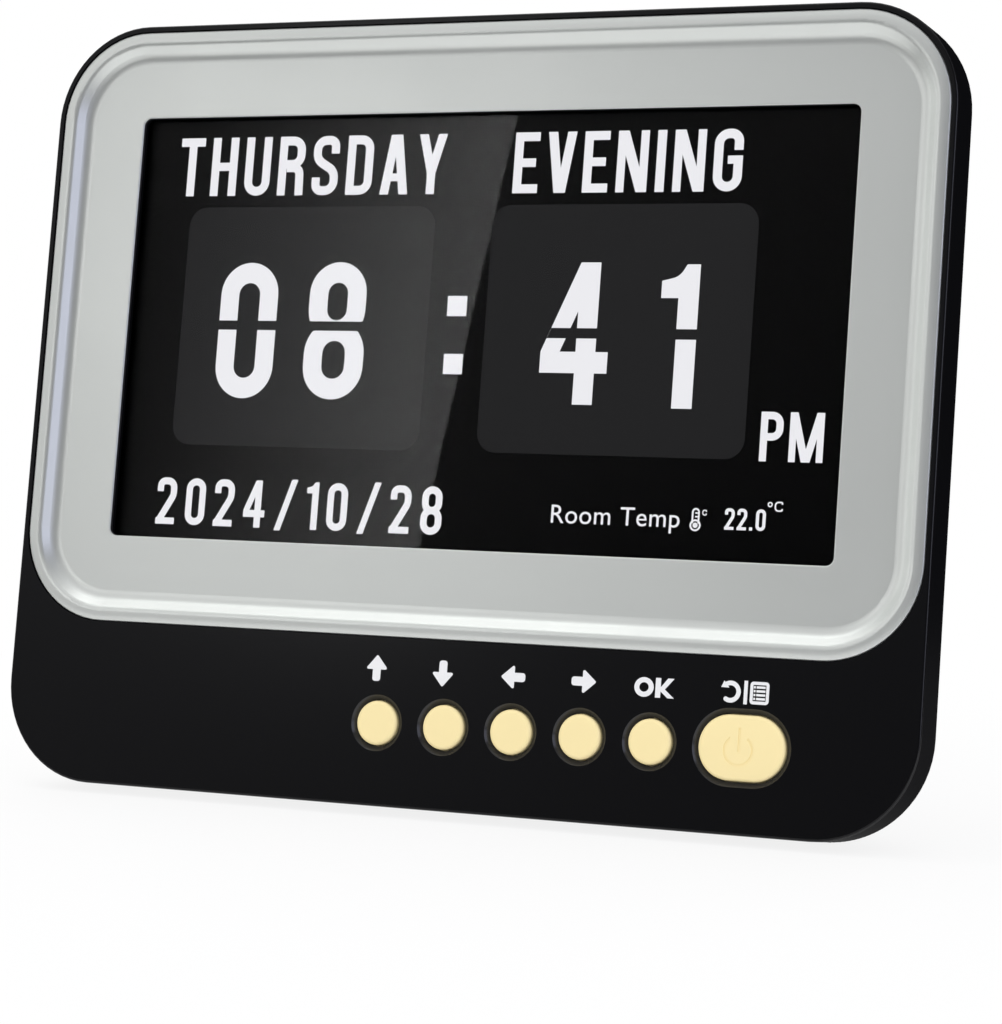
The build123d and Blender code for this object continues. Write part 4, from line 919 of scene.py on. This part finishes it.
def screw_tree():
    """A node tree that sets a cross-recessed screw on every point that it is given."""
    tree = bpy.data.node_groups.new("screws_on_points", "GeometryNodeTree")
    tree.interface.new_socket("Points", in_out="INPUT", socket_type="NodeSocketGeometry")
    for title in SCREW_SIZES:
        tree.interface.new_socket(title, in_out="INPUT", socket_type="NodeSocketFloat")
    tree.interface.new_socket("Metal", in_out="INPUT", socket_type="NodeSocketMaterial")
    tree.interface.new_socket("Screws", in_out="OUTPUT", socket_type="NodeSocketGeometry")
    given = tree.nodes.new("NodeGroupInput").outputs

    def times(title, factor):
        return maths(tree, "MULTIPLY", {0: given[title]}, b=factor)

    def moved(mesh, height):
        offset = node(tree, "ShaderNodeCombineXYZ", {"Z": height}).outputs[0]
        return node(tree, "GeometryNodeTransform", {"Geometry": mesh, "Translation": offset}).outputs[0]

    def cylinder(radius, depth):
        links = {"Radius": given[radius], "Depth": given[depth]}
        return node(tree, "GeometryNodeMeshCylinder", links, inputs={"Vertices": SCREW_SIDES}).outputs[0]

    def slot(along, across):
        links = {"X": given[along], "Y": given[across], "Z": times("Slot Depth", 2.0)}
        size = node(tree, "ShaderNodeCombineXYZ", links).outputs[0]
        box = node(tree, "GeometryNodeMeshCube", {"Size": size}).outputs[0]
        return moved(box, times("Head Height", -1.0))

    def boolean(operation, links):
        return node(tree, "GeometryNodeMeshBoolean", links, operation=operation, solver="EXACT")

    head = moved(cylinder("Head Radius", "Head Height"), times("Head Height", -0.5))
    ball = node(
        tree,
        "GeometryNodeMeshUVSphere",
        {"Radius": given["Dome Radius"]},
        inputs={"Segments": SCREW_SIDES, "Rings": 36},
    ).outputs[0]
    middle = maths(tree, "SUBTRACT", {0: given["Dome Radius"], 1: given["Dome Height"]})
    domed = boolean("INTERSECT", {1: moved(ball, middle)})
    tree.links.new(head, domed.inputs[1])
    slotted = boolean("DIFFERENCE", {0: domed.outputs[0]})
    for box in (slot("Slot Span", "Slot Width"), slot("Slot Width", "Slot Span")):
        tree.links.new(box, slotted.inputs[1])
    shank = moved(cylinder("Shank Radius", "Shank Length"), times("Shank Length", 0.5))
    screw = node(tree, "GeometryNodeJoinGeometry")
    tree.links.new(slotted.outputs[0], screw.inputs[0])
    tree.links.new(shank, screw.inputs[0])
    turn = node(tree, "FunctionNodeRandomValue", inputs={"Min": 0.0, "Max": tau, "Seed": 7})
    facing = node(tree, "ShaderNodeCombineXYZ", {"Z": turn.outputs[1]}).outputs[0]
    links = {"Points": given["Points"], "Instance": screw.outputs[0], "Rotation": facing}
    placed = node(tree, "GeometryNodeInstanceOnPoints", links)
    real = node(tree, "GeometryNodeRealizeInstances", {0: placed.outputs[0]})
    links = {"Geometry": real.outputs[0], "Material": given["Metal"]}
    dressed = node(tree, "GeometryNodeSetMaterial", links)
    node(tree, "NodeGroupOutput", {0: dressed.outputs[0]})
    return tree


# %% Set the screws
SCREW_ACROSS, SCREW_UPS = 88.0, (20.0, 84.0, 135.0)
SCREW_SEAT, HEAD_SUNK = 12.3, 0.5
under_head = HEAD_SUNK - SCREW_SEAT
places = [(side * SCREW_ACROSS, up, under_head) for side in (-1, 1) for up in SCREW_UPS]
spots = bpy.data.meshes.new("screw_spots")
spots.from_pydata(places, [], [])
holder = add("screw_spots", spots)
grown = holder.modifiers.new("screws", "NODES")
grown.node_group = screw_tree()
for item in grown.node_group.interface.items_tree:
    if item.name in SCREW_SIZES:
        grown[item.identifier] = SCREW_SIZES[item.name]
    if item.name == "Metal":
        grown[item.identifier] = steel_zinc
screws = result_mesh(holder)
bpy.data.objects.remove(holder)
screws.transform(on_face(0, 0, 0))
screws.materials.clear()
screws.materials.append(steel_zinc)
for face in screws.polygons:
    face.use_smooth = True
screws.set_sharp_from_angle(angle=SMOOTH_BELOW)
cover_screws = add("cover_screws", screws)
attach(cover_screws, "clock")
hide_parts("rear_cover_screws")
print("screw faces", len(screws.polygons))

# %% [markdown]
# ## Camera
#
# A product photograph is taken with a long lens, here from the right and about level with the screen.
# Its place was worked out from the straight edges of the housing and the screen, in millimetres from
# the screen's middle. The photograph's optical centre isn't its middle row, so the lens is shifted.

# %% Camera
CAMERA_ACROSS, CAMERA_UP, CAMERA_OUT = 266.70, -81.80, 551.34
FORWARD = (-0.42178228, 0.10315135, -0.90081047)
RIGHTWARD = (0.90641993, 0.07253548, -0.41610277)
FOCAL_PIXELS, PICTURE_HEIGHT, CENTRE_ROW = 3171.95, 1024, 425.0
SENSOR = 36.0
camera = add("camera", bpy.data.cameras.new("camera"))
bpy.context.scene.camera = camera
camera.data.sensor_width = SENSOR
camera.data.lens = FOCAL_PIXELS / PICTURE_HEIGHT * SENSOR
camera.data.shift_y = (CENTRE_ROW - PICTURE_HEIGHT / 2) / PICTURE_HEIGHT
camera.data.clip_start, camera.data.clip_end = 0.01, 20


def from_screen(across, up, out):
    """A direction or a distance given across, up the face and outwards."""
    return ACROSS * across + UP * up + OUT * out


ahead = from_screen(*FORWARD).normalized()
right = from_screen(*RIGHTWARD).normalized()
right = (right - ahead * right.dot(ahead)).normalized()
above = right.cross(ahead)
station = screen_middle + from_screen(CAMERA_ACROSS, CAMERA_UP, CAMERA_OUT) * MM
camera.matrix_world = Matrix.Translation(station) @ Matrix((right, above, -ahead)).transposed().to_4x4()
print("camera", [round(v / MM, 1) for v in station], "lens", round(camera.data.lens, 1))

# %% [markdown]
# ## Floor
#
# The clock stands on a sheet of pale card that runs on to white. A rectangle would show its edge in
# the black walls, so the card is a round disc. Near the clock it takes the shadow; from 0.11 m on it
# goes over to the background's white by a smooth ramp, for the camera and for what mirrors it.


# %% Floor
def mirrored(tree, path):
    """Whether a ray comes from a mirroring or a clear surface."""
    return maths(
        tree, "MAXIMUM", {0: path.outputs["Is Glossy Ray"], 1: path.outputs["Is Transmission Ray"]}
    )


WHITE = (1, 1, 1, 1)
WHITE_FROM, WHITE_TO, WHITE_LEAST = 0.11, 0.26, 0.85
FLOOR_RADIUS, FLOOR_SIDES = 0.28, 96
floor_white, tree, shader = surface("matt_white_card", "#EDEDED", 0.9, Specular_IOR_Level=0.0)
path = node(tree, "ShaderNodeLightPath")
glow = node(tree, "ShaderNodeEmission", inputs={"Color": WHITE, "Strength": 1.0})
where = node(tree, "ShaderNodeTexCoord")
away = node(tree, "ShaderNodeVectorMath", {0: where.outputs["Object"]}, operation="LENGTH")
share = node(
    tree,
    "ShaderNodeMapRange",
    {"Value": away.outputs["Value"]},
    interpolation_type="SMOOTHSTEP",
    inputs={"From Min": WHITE_FROM, "From Max": WHITE_TO, "To Min": WHITE_LEAST, "To Max": 1.0},
)
seen = maths(tree, "MAXIMUM", {0: path.outputs["Is Camera Ray"], 1: mirrored(tree, path)})
amount = maths(tree, "MULTIPLY", {0: seen, 1: share.outputs[0]})
mix = node(tree, "ShaderNodeMixShader", {0: amount, 1: shader.outputs[0], 2: glow.outputs[0]})
tree.links.new(mix.outputs[0], tree.nodes["Material Output"].inputs[0])
card = bpy.data.meshes.new("floor")
rim = [(x, y, 0) for x, y in circle(0, 0, FLOOR_RADIUS, FLOOR_SIDES)]
card.from_pydata(rim, [], [range(FLOOR_SIDES)])
card.materials.append(floor_white)
floor = add("floor", card)
print("floor", FLOOR_RADIUS * 2, "m across")

# %% [markdown]
# ## The room
#
# White walls would light the clock evenly, but every shiny face would then be pale. In the studio the
# room was light at the upper left and dark elsewhere, which keeps the black plastic black. So rays that
# are mirrored or pass through the lens meet a soft ramp towards the light side, the others an even
# level, and the camera sees plain white.

# %% World
LIGHT_SIDE = (-0.55, 0.0, 0.835)
RAMP_FROM, RAMP_TO = 0.3, 0.60
DARK_WALL, LIGHT_WALL = 0.03, 0.62
ROOM_LEVEL = 0.93
world = bpy.data.worlds.new("studio")
bpy.context.scene.world = world
world.use_nodes = True
tree = world.node_tree
tree.nodes.clear()
path = node(tree, "ShaderNodeLightPath")
where = node(tree, "ShaderNodeTexCoord")
towards = node(
    tree,
    "ShaderNodeVectorMath",
    {0: where.outputs["Generated"]},
    operation="DOT_PRODUCT",
    inputs={1: LIGHT_SIDE},
)
room = node(
    tree,
    "ShaderNodeMapRange",
    {"Value": towards.outputs["Value"]},
    inputs={"From Min": RAMP_FROM, "From Max": RAMP_TO, "To Min": DARK_WALL, "To Max": LIGHT_WALL},
)
links = {0: mirrored(tree, path), 3: room.outputs[0]}
lighting = node(tree, "ShaderNodeMix", links, inputs={2: ROOM_LEVEL})
links = {0: path.outputs["Is Camera Ray"], 2: lighting.outputs[0]}
level = node(tree, "ShaderNodeMix", links, inputs={3: 1.0})
walls = node(tree, "ShaderNodeBackground", {"Strength": level.outputs[0]}, inputs={"Color": WHITE})
node(tree, "ShaderNodeOutputWorld", {"Surface": walls.outputs[0]})
print("room level", ROOM_LEVEL)

# %% [markdown]
# ## Lamps
#
# Three soft boxes stand round the clock, and each lights the faces that lean its way: the top one the
# upper rim and the slope below the screen, the left one the left rim and the slope at the screen's
# right, and the right one, a little bluer, the side wall's rim and the slope at the screen's left. A
# small box on the left, as far away as the camera, shows in the lens as a slanted sheen that fades to
# one side.

# %% Soft boxes
CLOCK_MIDDLE = Vector((0, 0, 0.08))


def lamp(name, position, size, radiance, tint="#FFFFFF"):
    """A soft rectangular lamp that points at the clock, as bright as a white card of that level."""
    data = bpy.data.lights.new(name, "AREA")
    data.shape = "RECTANGLE"
    data.size, data.size_y = size
    data.energy = radiance * pi * size[0] * size[1]
    data.color = colour(tint)[:3]
    made = add(name, data)
    made.location = position
    made.rotation_mode = "QUATERNION"
    made.rotation_quaternion = (CLOCK_MIDDLE - Vector(position)).to_track_quat("-Z", "Y")
    return made


lamp("lamp_top", (-0.42, 0.2, 1.0), (0.8, 0.9), 1.6)
lamp("lamp_left", (-0.97, 0.25, 0.2), (1.0, 0.5), 0.8)
lamp("lamp_right", (0.86, -0.44, 0.35), (0.6, 0.6), 1.7, "#DFE3FF")

# %% The sheen in the lens
SHEEN_ACROSS, SHEEN_UP = -343.0, 94.0
SHEEN_SIZE = (0.15, 0.215)
SHEEN_TURN = radians(-9.6)
SHEEN_LEVEL, SHEEN_FADE = 4.4, 1.6
sheen = lamp("lamp_front", (0, 0, 0), SHEEN_SIZE, SHEEN_LEVEL)
facing = Matrix((ACROSS, UP, OUT)).transposed() @ Matrix.Rotation(SHEEN_TURN, 3, "Z")
sheen.rotation_quaternion = facing.to_quaternion()
sheen.location = screen_middle + from_screen(SHEEN_ACROSS, SHEEN_UP, CAMERA_OUT) * MM
sheen.data.use_nodes = True
tree = sheen.data.node_tree
where = node(tree, "ShaderNodeNewGeometry")
along = node(tree, "ShaderNodeSeparateXYZ", {0: where.outputs["Parametric"]})
ramp = maths(tree, "POWER", {0: along.outputs["X"]}, b=SHEEN_FADE)
tree.links.new(ramp, tree.nodes["Emission"].inputs["Strength"])
print("lamps", len(bpy.data.lights))

# %% [markdown]
# ## Finish
#
# Colours are shown as they are.

# %% Colour management
bpy.context.scene.view_settings.view_transform = "Standard"
